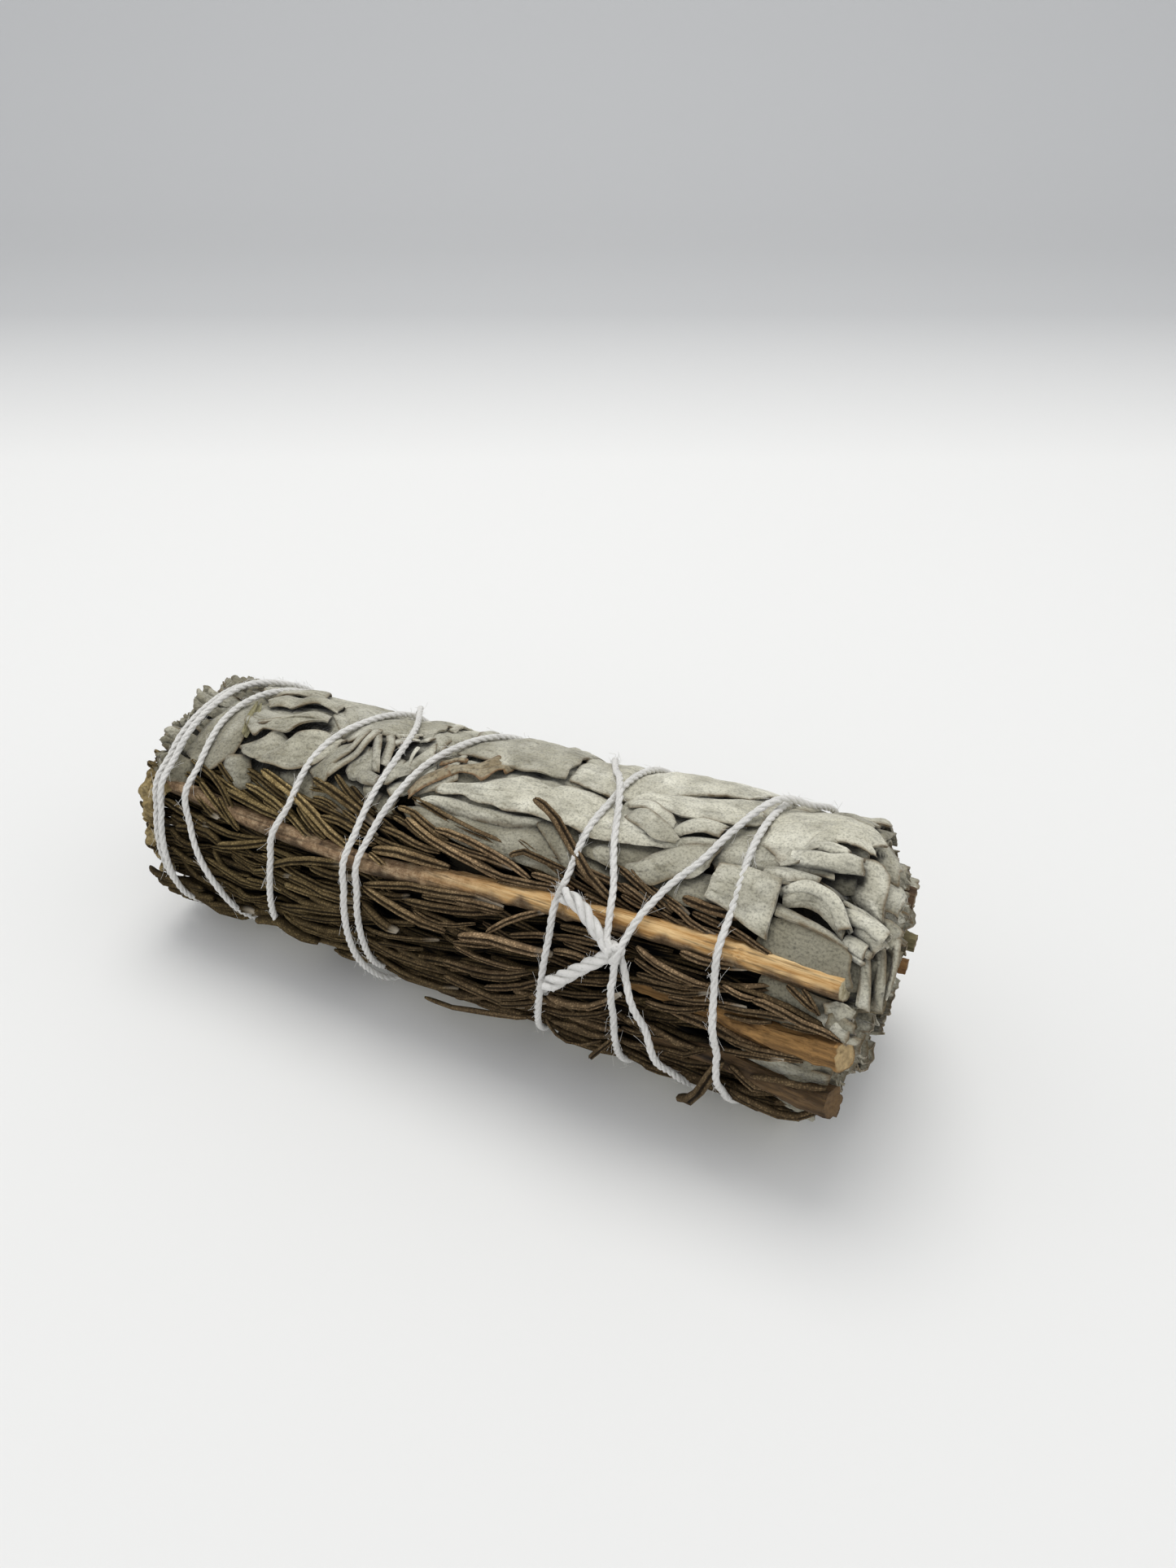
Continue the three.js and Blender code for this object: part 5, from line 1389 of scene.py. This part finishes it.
TOP_NEEDLES_B = [
    (.8, .2, .75, ((-33.8, 64), (-34.9, 61), (-36.4, 57), (-37.8, 52))),
    (.9, .1, .7, ((-37.7, 62), (-40.1, 58), (-42.9, 53))),
    (1.1, .2, .75, ((-39.1, 67), (-41, 66), (-44.9, 63), (-47.8, 61))),
    (1.1, .3, .75, ((-28.4, 65), (-33.1, 70), (-36.6, 73))),
    (.9, -.1, .5, ((-29.3, 65), (-34.1, 67), (-37.9, 66), (-41.6, 64))),
    (1.2, .1, .45, ((-36.7, 74), (-38.2, 70), (-41.2, 70), (-44.9, 72))),
    (1, -.2, .45, ((-40.8, 69), (-43.5, 69), (-46.3, 68))),
    (.8, -.2, .3, ((-31.9, 87), (-35.2, 87), (-36.8, 84), (-37.9, 77))),
    (.9, .1, .65, ((-28.2, 89), (-32.1, 89), (-35.9, 86), (-40.2, 85))),
    (.6, -.1, .5, ((-29.6, 79), (-32.2, 77), (-34.7, 74))),
    (.7, -.2, .35, ((-27.3, 76), (-29.4, 75), (-32.3, 72))),
    (1.1, .5, .4, ((-13.1, 63), (-18.6, 65), (-22.1, 67), (-25.4, 71), (-28, 76))),
    (1.1, .1, .4, ((-14.6, 70), (-18, 70), (-20.8, 69))),
    (.9, .1, .45, ((-14.2, 82), (-17.9, 81), (-21.4, 78), (-24.3, 77))),
    (.9, 0, .75, ((-19.4, 83), (-22.7, 82), (-25.4, 82))),
    (.8, -.1, .6, ((-25.2, 80), (-27.7, 79), (-30.7, 81))),
    (.9, 0, .6, ((-25.4, 89), (-28.7, 87), (-31.9, 86))),
    (1, .2, .3, ((-40.9, 81), (-43.5, 79), (-46.2, 75))),
    (.8, 0, .45, ((-39.5, 79), (-42.6, 80), (-45.9, 81))),
    (1, .2, .5, ((7.5, 61), (3.6, 60), (-.4, 62), (-4.5, 63), (-8.7, 66), (-12.8, 70))),
    (.9, .1, .55, ((7.7, 62), (4.9, 62), (1.4, 63))),
    (1.1, 0, .3, ((6.5, 64), (2.3, 67), (-1.8, 69), (-5.9, 70))),
    (.6, 0, .45, ((4.2, 71), (.2, 75), (-2.6, 75), (-4.5, 73))),
    (1.2, .3, .7, ((0, 79), (-5.1, 76), (-9.2, 73), (-12.8, 71))),
    (1.2, .1, .3, ((-7.2, 87), (-10, 83), (-12.7, 79))),
    (.9, -.4, .2, ((-5.8, 69), (-8.2, 71), (-11.8, 72))),
    (1.3, .5, .85, ((14.9, 74), (11.5, 73), (7, 73), (2.8, 76))),
    (.8, .3, .65, ((13.9, 56), (11.2, 60), (8.7, 65), (6.5, 71))),
    (.7, .1, .45, ((7.8, 77), (4.5, 79), (1.7, 81))),
    (.6, .2, .45, ((11.6, 84), (8.4, 84), (4.9, 84), (1.9, 82))),
    (.8, -.1, .35, ((-14.2, 86), (-18, 85), (-21.1, 83))),
    (.8, 0, .35, ((19.7, 64), (16.3, 65), (12.6, 67), (9.4, 70))),
    (.8, .1, .4, ((21.4, 63), (18.2, 63), (15.3, 65))),
    (.7, 0, .35, ((22.4, 67), (19.1, 66), (16.4, 66))),
    (.9, .1, .45, ((21, 70), (17.9, 69), (15.2, 71))),
    (.9, -.3, .25, ((21.7, 60), (18.5, 60), (15.4, 61))),
    (.9, .4, .55, ((24.4, 80), (21.7, 87), (18.5, 90), (14.9, 92))),
    (.8, 0, .3, ((22.9, 78), (20.8, 78), (18.1, 80))),
    (.8, .5, .7, ((35.3, 66), (31.7, 64), (28.3, 62), (25.5, 59))),
    (.8, .2, .45, ((31.9, 67), (28.4, 66), (25.5, 64))),
    (.8, 0, .3, ((33, 67), (29.3, 68), (26.1, 69))),
    (.7, .2, .5, ((39.5, 68), (36.3, 70), (33.5, 72), (30.5, 73))),
    (.8, 0, .4, ((34.6, 75), (31.2, 78), (27.7, 79))),
    (.7, -.1, .3, ((34.9, 68), (31.8, 71), (28.3, 72))),
    (.9, .3, .6, ((38.4, 55), (34.3, 57), (30.8, 56))),
    (.7, .4, .75, ((40.3, 64), (38.4, 64), (36.3, 63))),
    (.9, .4, .6, ((50.2, 70), (47.8, 67), (44.9, 66), (42.2, 64), (40.1, 64))),
    (.8, .1, .35, ((45.4, 67), (42.7, 67), (39.5, 69), (36.3, 71))),
    (.7, .1, .35, ((42.4, 71), (39.5, 73), (36.9, 75))),
    (.6, 0, .3, ((48.3, 69), (46, 69), (43.7, 69))),
    (.7, .2, .4, ((49, 79), (44.9, 80), (41.2, 82), (37.5, 83))),
    (.7, 0, .35, ((44.6, 83), (40.9, 85), (37.5, 89))),
    (.7, .3, .3, ((47.1, 62), (45.2, 59), (43.2, 56))),
    (.6, .1, .3, ((47.3, 63), (46.2, 59), (44.9, 56))),
]
TOP_NEEDLES_C = [
    (.8, -.2, .45, ((-20.7, 89), (-24.1, 88), (-27.3, 87))),
    (.8, .1, .4, ((-36.8, 94), (-39.6, 90), (-42.8, 88), (-46.4, 85))),
    (.7, 0, .25, ((-36.1, 103), (-39.3, 101), (-42.2, 97), (-44.8, 89))),
    (.7, -.1, .3, ((11, 89), (7.3, 93), (3.9, 95))),
    (.9, .2, .55, ((15, 85), (12.2, 90), (8.9, 95), (6, 99))),
    (.8, 0, .35, ((13.1, 96), (9.4, 101), (6.2, 105))),
    (1, .3, .5, ((10.8, 109), (6.9, 105), (3.4, 103), (-.2, 101))),
    (.9, .3, .4, ((14.3, 99), (11.3, 102), (8, 106))),
    (.7, 1.6, .6, ((11.8, 108), (6.9, 110), (2.5, 117), (-2.7, 129), (-5.7, 128))),
    (.6, 0, .5, ((6, 108), (2.9, 115), (-.9, 125))),
    (.7, 0, .35, ((.1, 117), (-4, 119), (-8.9, 116), (-13.1, 112))),
    (.6, -.2, .3, ((-3.8, 94), (-7.7, 95), (-10.7, 98))),
    (.6, 0, .4, ((-.9, 84), (-4.7, 87), (-8.6, 90), (-12.9, 92))),
    (.9, .1, .6, ((-13.7, 88), (-18.1, 89), (-22.7, 92), (-27.4, 98))),
    (.6, .3, .5, ((-14.2, 106), (-19.9, 106), (-23.5, 106), (-27, 103))),
    (.8, .1, .45, ((-25.4, 99), (-28.9, 99), (-33.5, 100), (-37.9, 100))),
    (.7, .2, .45, ((-29.3, 96), (-32.7, 98), (-34.2, 94))),
    (1.6, .8, .25, ((-22.3, 116), (-25.2, 110), (-28, 108), (-32.2, 111))),
    (.8, 0, .35, ((-14.6, 92), (-19.5, 95), (-23.3, 98))),
    (.8, -.2, .3, ((-15.5, 99), (-20.5, 105), (-26, 111))),
    (.5, .5, .5, ((21.8, 110), (17.1, 122), (15.1, 117), (14.4, 106))),
    (.7, .1, .45, ((23.7, 106), (21.2, 106), (18.6, 103), (14.9, 108))),
    (.8, .1, .4, ((23.7, 90), (20.5, 94), (17, 99), (13.4, 104))),
    (.8, 1.6, .45, ((24.3, 100), (22.3, 108), (20.7, 116))),
    (.7, .1, .55, ((34.2, 92), (30.6, 91), (27.5, 89), (25.3, 90))),
    (.7, 0, .45, ((31.1, 93), (28, 95), (24.7, 97))),
    (.7, .1, .4, ((35.4, 94), (31.6, 99), (27.9, 101), (24.8, 104))),
    (.9, .5, .6, ((42.7, 103), (40.2, 98), (38.5, 95))),
    (1.3, 2.2, .4, ((37.9, 90), (36.2, 102), (33.6, 123), (31.8, 128))),
    (1, .6, .35, ((49.1, 105), (45.8, 109), (42.4, 108), (38.9, 107))),
    (.8, .3, .45, ((49.6, 91), (47.3, 90), (44, 91), (41.2, 95))),
]
# Stray ends over the last turns of string, low on the front at the tip: degrees around, x
# and tone.
STRAY_NEEDLES = (
    (112, -41, .3), (117, -39.5, .25), (121, -40.5, .2), (126, -39, .3), (131, -40, .2),
    (106, -42, .2), (136, -38, .3), (123, -35, .3), (114, -34, .2),
)
for around, x, tone in STRAY_NEEDLES:
    path = ((x, around), (x - 5, around + 1), (x - 11.5, around + 3))
    TOP_NEEDLES_C.append((1.15, .6, tone, path))
# Depth below the top, spacing, tone and greatest bow of the layers underneath. The low tones of the
# deeper layers are painted shade.
NEEDLE_LAYERS = ((2.9, .8, 0, 4), (2.2, 1.0, 0, 5), (1.35, 1.45, .1, 4), (.4, 2.0, .34, 3))
NEEDLE_CELL = (9.0, 1.15)
TOP_NEEDLE_WIDTH = 1.08
TIP_LIMIT = 53.6
SHADE_RUN = (-42, 0)


def sprig(name, node, x_from, x_to, edges, heading, laid, shade):
    """The needles laid on top, and seeded ones under and between them, with painted shade that darkens
    them with depth and, by shade, towards the tip."""
    pieces = []
    for width, level, tone, path in laid:
        pieces.append(needle(
            path, width * TOP_NEEDLE_WIDTH, level, tone * np.interp(path[0][0], SHADE_RUN, shade),
            base_dip=needle_rng.uniform(.3, .9),
            tip_out=needle_rng.uniform(0, .35), roll=needle_rng.uniform(-.3, .3),
            pale=needle_rng.uniform(.2, .8) if needle_rng.random() < .3 else 0,
            bed=.35 if tone > .35 else .8))
    for depth, spread, tone, bent in NEEDLE_LAYERS:
        rows = max(1, round(.305 * (edges(0)[1] - edges(0)[0]) / (NEEDLE_CELL[1] * spread)))
        for row in range(rows):
            start = x_to - needle_rng.uniform(0, NEEDLE_CELL[0])
            for base in np.arange(start, x_from, -NEEDLE_CELL[0] * spread):
                x = base + needle_rng.uniform(-2.5, 2.5)
                low, high = edges(x)
                around = low + (high - low) * (row + .5 + needle_rng.uniform(-.35, .35)) / rows
                steer = math.radians(needle_rng.uniform(*heading(x)))
                length = min(needle_rng.uniform(11, 19), x + TIP_LIMIT)
                if length < 5:
                    continue
                reach = np.degrees(length * math.sin(steer) / 17)
                limit = np.interp(x - length, *BED_TOP) + needle_rng.uniform(-1, 4)
                if around + reach < limit:
                    reach *= max(.1, (around - limit) / max(1e-3, -reach))
                bow = needle_rng.uniform(-bent, bent)
                path = ((x, around), (x - .5 * length, around + .5 * reach + bow),
                        (x - length, around + reach))
                width = needle_rng.uniform(.8, 1.25)
                level = -depth + needle_rng.uniform(-.35, .3)
                tint = float(np.clip(needle_rng.normal(tone, .16), 0, .9))
                pieces.append(needle(
                    path, width, level, tint * np.interp(x, SHADE_RUN, shade),
                    base_dip=needle_rng.uniform(.4, 1.2), tip_out=needle_rng.uniform(-.3, .5),
                    roll=needle_rng.uniform(-.6, .6),
                    pale=needle_rng.uniform(.2, .7) if needle_rng.random() < .07 else 0))
    grown = join_pieces(pieces, name)
    coat(grown, needle_finish)
    bpy.ops.object.shade_smooth()
    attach(grown, "root")
    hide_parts(node)
    return grown


# Above the long stem the needles fan out: x, and their lean in degrees.
FAN_LEAN = ((-14, -8, 8, 16, 28, 34), (-24, -16, -14, -20, -16, -6))
sprig_a = sprig("rosemary_sprig_a", "rosemary_needles_a", -45, 49,
                lambda x: (np.interp(x, *BED_TOP) + 6, np.interp(x, *STEM_A) + 1),
                lambda x: (np.interp(x, *FAN_LEAN) - 7, np.interp(x, *FAN_LEAN) + 7),
                TOP_NEEDLES_A, (.8, .95))
sprig_b = sprig("rosemary_sprig_b", "rosemary_needles_b", -45, 49,
                lambda x: (np.interp(x, *STEM_A) + 4, 88),
                lambda x: (-13, 17), TOP_NEEDLES_B, (.22, .75))
sprig_c = sprig("rosemary_sprig_c", "rosemary_needles_c", -43, 49,
                lambda x: (89, 141), lambda x: (-12, 15), TOP_NEEDLES_C, (.25, .42))
bpy.data.objects.remove(needle_form)

# Young leaf crowns at the growing tips: small crinkled leaves packed round a bud.
# Place as x and degrees around, height and size of each.
CROWNS = (
    (-51.6, 54, 1.3, 2.1), (-50.6, 62, .8, 1.6), (-48.8, 56, 1.3, 1.2), (-50, 72, .4, 1.3),
    (-50.6, 82, .2, 1.2), (-49.3, 66, .9, 1), (-50.8, 95, -.2, 1.2), (-50.2, 107, -.4, 1.2),
)
CROWN_LEAVES = 5
crown_rng = np.random.default_rng(139)
crown_finish = Finish("rosemary_crown", .9)
crown_finish.color(crown_finish.shaded(
    crown_finish.ramp(crown_finish.noise(420, 4), (.3, (.11, .075, .03)),
                      (.5, (.3, .225, .1)), (.7, (.5, .4, .22))),
    crown_finish.noise(2400, 4), .8, (.36, .4), (.54, 1.0)))
crown_finish.bump(crown_finish.noise(1500, 4), .0004, .8)
crowns = []
for x, around, level, size in CROWNS:
    for _ in range(CROWN_LEAVES):
        lean = crown_rng.uniform(-.6, .6) * size
        turn = crown_rng.uniform(-2.5, 2.5) * size
        reach = size * crown_rng.uniform(.6, 1.2)
        wide = size * crown_rng.uniform(1.6, 3.0)
        base = level + crown_rng.uniform(-.3, .3)
        left, right = around + turn - wide, around + turn + wide
        crowns.append(leaf(
            [(x - reach, left, base + lean, x - reach, right, base + lean),
             (x, left, base + .3, x, right, base + .3),
             (x + reach, around - .5 * wide, base - .5, x + reach, around + .5 * wide, base - .5)],
            bulge=crown_rng.uniform(-.4, .6), rim=.1, crumple=.25, ragged=.4, frill=.35,
            rows=14, cols=12, thickness=.25, finish=crown_finish))
crowns = join_pieces(crowns, "rosemary_tip_crowns")
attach(crowns, "root")


# ----------------------------------------------------------
# String: three-ply cotton, wound ten turns round the bundle, knotted once on the front with
# two frayed tails. It bites a little into the leaves and rides over the long stem.

STRING_RADIUS = .65
STRING_SINK = .45
STEM_RISE = .9
STEM_REACH = 4.2
CROSSING_REACH = 3.2
CROSSING_RISE = 2 * STRING_RADIUS + .08
PLY_RADIUS = .265
PLY_OFFSET = .205
PLY_COUNT = 3
PLY_PITCH = 3.6
TUCK_DEPTH = .75
TUCK_FROM = 118
TUCK_BLEND = 5
TIP_TUCK_FROM = -38
TIP_TUCK = 1.7

cotton = Finish("cotton_string", .9, sheen=.35)
cotton.color(cotton.ramp(cotton.noise(2600, 5, .65), (.26, (.66, .645, .6)),
                         (.46, (.9, .885, .845))))
cotton.bump(cotton.noise(4200, 5, .75), .0003, .9)


def over_stems(x, around):
    rise = np.zeros_like(x)
    for line in (STEM_A, STEM_B, STEM_C):
        offset = np.radians(turn_between(around, np.interp(x, *line))) * bundle_radius(x)
        reached = (np.abs(offset) < STEM_REACH) & (x > line[0][0]) & (x < line[0][-1])
        rise = np.maximum(rise, np.where(reached, np.cos(np.pi / 2 * offset / STEM_REACH) ** 2, 0))
    return rise


crossing = np.zeros(len(route_x))
for i in range(len(route_x)):
    older = slice(0, max(0, np.searchsorted(route_around, route_around[i] - 180)))
    arc = np.radians(turn_between(route_around[i], route_around[older])) * bundle_radius(route_x[i])
    distance = np.hypot(route_x[older] - route_x[i], arc)
    close = distance < CROSSING_REACH
    if close.any():
        share = np.cos(np.pi / 2 * distance[close] / CROSSING_REACH) ** 2
        crossing[i] = np.max(share * (crossing[older][close] + CROSSING_RISE))
# On the front, low down, the string is tucked deeper between the needles.
tucked = 1 / (1 + np.exp((TUCK_FROM - np.abs(turn_between(route_around, 0))) / TUCK_BLEND))
tucked = TUCK_DEPTH * tucked * (np.sin(np.radians(route_around)) > 0)
tucked = tucked * np.where(route_x < TIP_TUCK_FROM, TIP_TUCK, 1.0)
lifted = STEM_RISE * over_stems(route_x, route_around)
route_out = bundle_radius(route_x) + STRING_SINK + lifted + crossing - tucked
route_points = on_bundle(route_x, route_around, route_out) / MM
route_points[:, 2] = np.maximum(route_points[:, 2], STRING_RADIUS + .1)


def even_steps(points, step):
    lengths = np.r_[0, np.cumsum(np.linalg.norm(np.diff(points, axis=0), axis=1))]
    at = np.linspace(0, lengths[-1], max(2, int(lengths[-1] / step)))
    return np.stack([np.interp(at, lengths, points[:, k]) for k in range(3)], axis=1), at


def add_thread(curve, spot):
    spline = curve.splines.new("POLY")
    spline.points.add(len(spot) - 1)
    spline.points.foreach_set("co", np.c_[spot * MM, np.ones(len(spot))].ravel())


def twisted_plies(points, name, offset=PLY_OFFSET, radius=PLY_RADIUS, pitch=PLY_PITCH,
                  step=.42, flare=0):
    """Plies wound round one line of points, as curves with a round section made a mesh."""
    line, at = even_steps(points, step)
    heading = np.gradient(line, axis=0)
    heading /= np.linalg.norm(heading, axis=1)[:, None]
    axis_height = bundle_radius(line[:, 0]) - PRESSED_FLAT
    outward = line - np.stack([line[:, 0], 0 * line[:, 0], axis_height], axis=1)
    outward -= heading * np.sum(outward * heading, axis=1)[:, None]
    outward /= np.linalg.norm(outward, axis=1)[:, None]
    across = np.cross(heading, outward)
    deselect_all()
    for k in range(PLY_COUNT):
        angle = 2 * np.pi * (at / pitch + k / PLY_COUNT)
        reach = offset * (1 + flare * (at / at[-1]) ** 3)
        spot = line + spokes(outward, across, angle, reach)
        cord = bpy.data.curves.new(name, "CURVE")
        cord.dimensions = "3D"
        cord.bevel_depth = radius * MM
        cord.bevel_resolution = 1
        cord.use_fill_caps = True
        add_thread(cord, spot)
        ply = bpy.data.objects.new(name, cord)
        bpy.context.collection.objects.link(ply)
        ply.select_set(True)
        bpy.context.view_layer.objects.active = ply
    bpy.ops.object.convert(target="MESH")
    return list(bpy.context.selected_objects)


winding = join_pieces(twisted_plies(route_points, "cotton_winding"), "cotton_winding")
coat(winding, cotton)
bpy.ops.object.shade_smooth()
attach(winding, "root")
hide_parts("cotton_string")

# Loose cotton fibres stand off the winding all along.
FIBRES = 1700
FIBRE_RADIUS = .018
fibre_rng = np.random.default_rng(151)


def loose_fibres(points, count, reach, name):
    """Fine curled fibres that leave a line of points in mm, as one curve made a mesh."""
    fuzz = bpy.data.curves.new(name, "CURVE")
    fuzz.dimensions = "3D"
    fuzz.bevel_depth = FIBRE_RADIUS * MM
    fuzz.bevel_resolution = 0
    t = np.linspace(0, 1, 6)[:, None]
    for _ in range(count):
        k = fibre_rng.integers(1, len(points) - 1)
        heading = points[k] - points[k - 1]
        heading = heading / max(1e-6, np.linalg.norm(heading)) * fibre_rng.choice([-1, 1])
        side = fibre_rng.normal(size=3)
        side -= heading * side.dot(heading)
        side /= np.linalg.norm(side)
        curl = np.cross(heading, side) * fibre_rng.uniform(-.5, .5)
        length = fibre_rng.uniform(.5, 1) * reach
        stray = length * fibre_rng.uniform(.1, .55)
        spot = points[k] + side * .42 + heading * length * t + side * stray * t**1.5
        spot = spot + curl * np.sin(4 * t)
        spot[:, 2] = np.maximum(spot[:, 2], .05)
        add_thread(fuzz, spot)
    piece = bpy.data.objects.new(name, fuzz)
    bpy.context.collection.objects.link(piece)
    pick(piece)
    bpy.ops.object.convert(target="MESH")
    return bpy.context.object


fuzz = loose_fibres(route_points[::4], FIBRES, 2.2, "cotton_fuzz")
coat(fuzz, cotton)
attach(fuzz, "root")

# The knot is one overhand loop pulled tight, and the tails leave it to both sides.
KNOT_PLACE = (23.4, 62, 1.5)
KNOT_SIZE = (.32, .36, .42)
# The line of each tail, as degrees around and x.
TAILS = (((62, 23.2), (57, 21), (51, 18.4), (48.5, 15.8)),
         ((63, 23.2), (69, 20.8), (76, 18.1), (83, 15.6)))
knot_centre = mm_on_bundle(*KNOT_PLACE)
axis_height = bundle_radius(KNOT_PLACE[0]) - PRESSED_FLAT
outward = knot_centre - np.array([KNOT_PLACE[0], 0, axis_height])
outward /= np.linalg.norm(outward)
sideways = np.array([1.0, 0, 0])
downward = np.cross(outward, sideways)
loop = np.linspace(0, 2 * math.pi, 90)
knot_line = (knot_centre
             + sideways * ((np.sin(loop) + 2 * np.sin(2 * loop)) * KNOT_SIZE[0])[:, None]
             + downward * ((np.cos(loop) - 2 * np.cos(2 * loop)) * KNOT_SIZE[1])[:, None]
             + outward * (-np.sin(3 * loop) * KNOT_SIZE[2])[:, None])
tied = twisted_plies(knot_line, "cotton_knot", offset=.2, radius=.33, pitch=2.6, step=.25)
for tail in TAILS:
    around, x = np.array(tail, float).T
    stops = np.linspace(0, 1, len(tail))
    fine = np.linspace(0, 1, 30)
    around, x = smooth_run(stops, around, fine), smooth_run(stops, x, fine)
    rise = np.where(fine < .2, .6, .35) + 1.0 * over_stems(x, around)
    tail_line = on_bundle(x, around, bundle_radius(x) + STRING_SINK + .3 + rise) / MM
    tied += twisted_plies(tail_line, "cotton_tail", offset=.42, radius=.46, pitch=6.0,
                          step=.3, flare=.6)
    tied.append(loose_fibres(tail_line, 110, 2.0, "cotton_tail_fray"))
    end = tail_line[-1] + (tail_line[-1] - tail_line[-4]) * np.linspace(-1.2, .5, 8)[:, None]
    tied.append(loose_fibres(end, 160, 1.6, "cotton_tail_fray"))
knot = join_pieces(tied, "cotton_knot_and_tails")
coat(knot, cotton)
bpy.ops.object.shade_smooth()
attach(knot, "root")
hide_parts("cotton_string")


# ----------------------------------------------------------
# Scrap: a dry brown leaf caught on top of the roll, torn into three crumpled lobes that
# lie loosely on the sage leaves and end at the needles.

scrap_finish = Finish("dry_brown_leaf", .9, sheen=.1)
scrap_tone = scrap_finish.ramp(scrap_finish.noise(260, 5, .6), (.3, (.13, .09, .04)),
                               (.46, (.29, .235, .145)), (.7, (.44, .39, .28)))
scrap_rust = scrap_finish.ramp(scrap_finish.marked("edge_band"), (.05, 0), (.6, .85))
scrap_tone = scrap_finish.mix(scrap_tone, (.19, .105, .045), scrap_rust)
scrap_finish.color(scrap_finish.shaded(scrap_tone, scrap_finish.noise(2000, 4), .8,
                                       (.35, .4), (.55, 1.0)))
scrap_finish.bump(scrap_finish.noise(1300, 5), .0005, .8)
scrap = join_pieces([
    leaf([(-7.5, 11.3, .3, -6.9, 15.4, .3), (-4.6, 5.3, .5, -5, 14.6, .6),
          (-2.3, 1, .6, -1.9, 13.1, .7), (-1, -1.5, .5, -.4, 9.5, .7), (.3, -.5, .5, .5, 6, .5),
          (1, 1, .4, 1.2, 4, .4)],
         bulge=.1, rim=.05, crumple=.2, ragged=.5, tint=.6, rows=60, cols=26, crease=.15,
         thickness=.2, finish=scrap_finish),
    leaf([(-10.3, 23.6, .4, -10, 29.8, .7), (-9.9, 18.2, .5, -8.6, 24.8, .8),
          (-8.6, 13, .4, -7, 20, .8), (-7.6, 9.5, .3, -5.4, 14.5, .6)],
         bulge=.2, rim=.1, crumple=.15, ragged=.25, tint=.6, thickness=.2, finish=scrap_finish),
    leaf([(-8.5, 5, .4, -8.4, 8.3, .4), (-7.2, 3, .5, -6.9, 8.3, .6),
          (-5.9, 3.2, .3, -5.4, 6.3, .4)],
         bulge=.15, rim=.05, crumple=.2, ragged=.4, tint=.5, rows=24, cols=18, thickness=.2,
         finish=scrap_finish),
], "dry_leaf_scrap")
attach(scrap, "root")


# ----------------------------------------------------------
# Hollows: every leaf and needle keeps how deep each of its points lies below what is around it, seen from
# the side and from both ends. The finishes paint shade there, and a little light on the points that stand
# proud.

HOLLOW_STEP = .3
HOLLOW_DEEP = 1.15
HOLLOW_FREE = .1
HOLLOW_LEVEL = .25
NOTHING = -9.0
# The box that is looked through in mm: how far it starts before zero, and its size.
BOX_ALONG = (56, 112)
BOX_ACROSS = (24, 48)
BOX_UP = (2, 46)
END_ZONE = 43


def spread_out(grid, cells):
    """A soft average of a grid over a few cells each way."""
    for _ in range(2):
        for axis in (0, 1):
            grid = np.mean([np.roll(grid, k, axis) for k in range(-cells, cells + 1)], axis=0)
    return grid


def hollow_seen(along, across, height, size, wrap):
    """How far each point lies below the tops around it, in a view along the height."""
    i = np.clip((along / HOLLOW_STEP).astype(int), 0, size[0] - 1)
    j = (across / HOLLOW_STEP).astype(int)
    j = j % size[1] if wrap else np.clip(j, 0, size[1] - 1)
    top = np.full(size, NOTHING)
    np.maximum.at(top, (i, j), height)
    for _ in range(3):
        around_top = np.max([np.roll(top, k, axis) for axis in (0, 1) for k in (-1, 1)], axis=0)
        top = np.where(top < NOTHING + .5, around_top, top)
    top = np.maximum(top, np.min(height))
    wide = .5 * spread_out(top, 2) + .5 * spread_out(top, 5)
    return np.maximum(wide, spread_out(top, 1))[i, j] - height


leafy = [heart, top_leaves, swirl, row_leaves, ruffles, *butt_rolls, sprig_a, sprig_b, sprig_c]
clouds = [read_points(piece) / MM for piece in leafy]
cloud = np.concatenate(clouds)
axis_height = bundle_radius(cloud[:, 0]) - PRESSED_FLAT
turned = np.arctan2(-cloud[:, 1], cloud[:, 2] - axis_height) % (2 * math.pi)
out = np.hypot(cloud[:, 1], cloud[:, 2] - axis_height)
cells_along, cells_across, cells_up = (
    int(size / HOLLOW_STEP) for _, size in (BOX_ALONG, BOX_ACROSS, BOX_UP))
girth = int(2 * math.pi * MEAN_RADIUS / HOLLOW_STEP)
seen = hollow_seen(cloud[:, 0] + BOX_ALONG[0], turned / (2 * math.pi) * girth * HOLLOW_STEP,
                   out - bundle_radius(cloud[:, 0]), (cells_along, girth), True)
for way in (1, -1):
    from_end = hollow_seen(cloud[:, 1] + BOX_ACROSS[0], cloud[:, 2] + BOX_UP[0],
                           way * cloud[:, 0], (cells_across, cells_up), False)
    seen = np.where(way * cloud[:, 0] > END_ZONE, np.minimum(seen, from_end), seen)
hollow = np.clip(HOLLOW_LEVEL + (1 - HOLLOW_LEVEL) * (seen - HOLLOW_FREE) / HOLLOW_DEEP, 0, 1)
for piece, part in zip(leafy, np.split(hollow, np.cumsum([len(c) for c in clouds])[:-1])):
    mark_points(piece, "hollow", part)
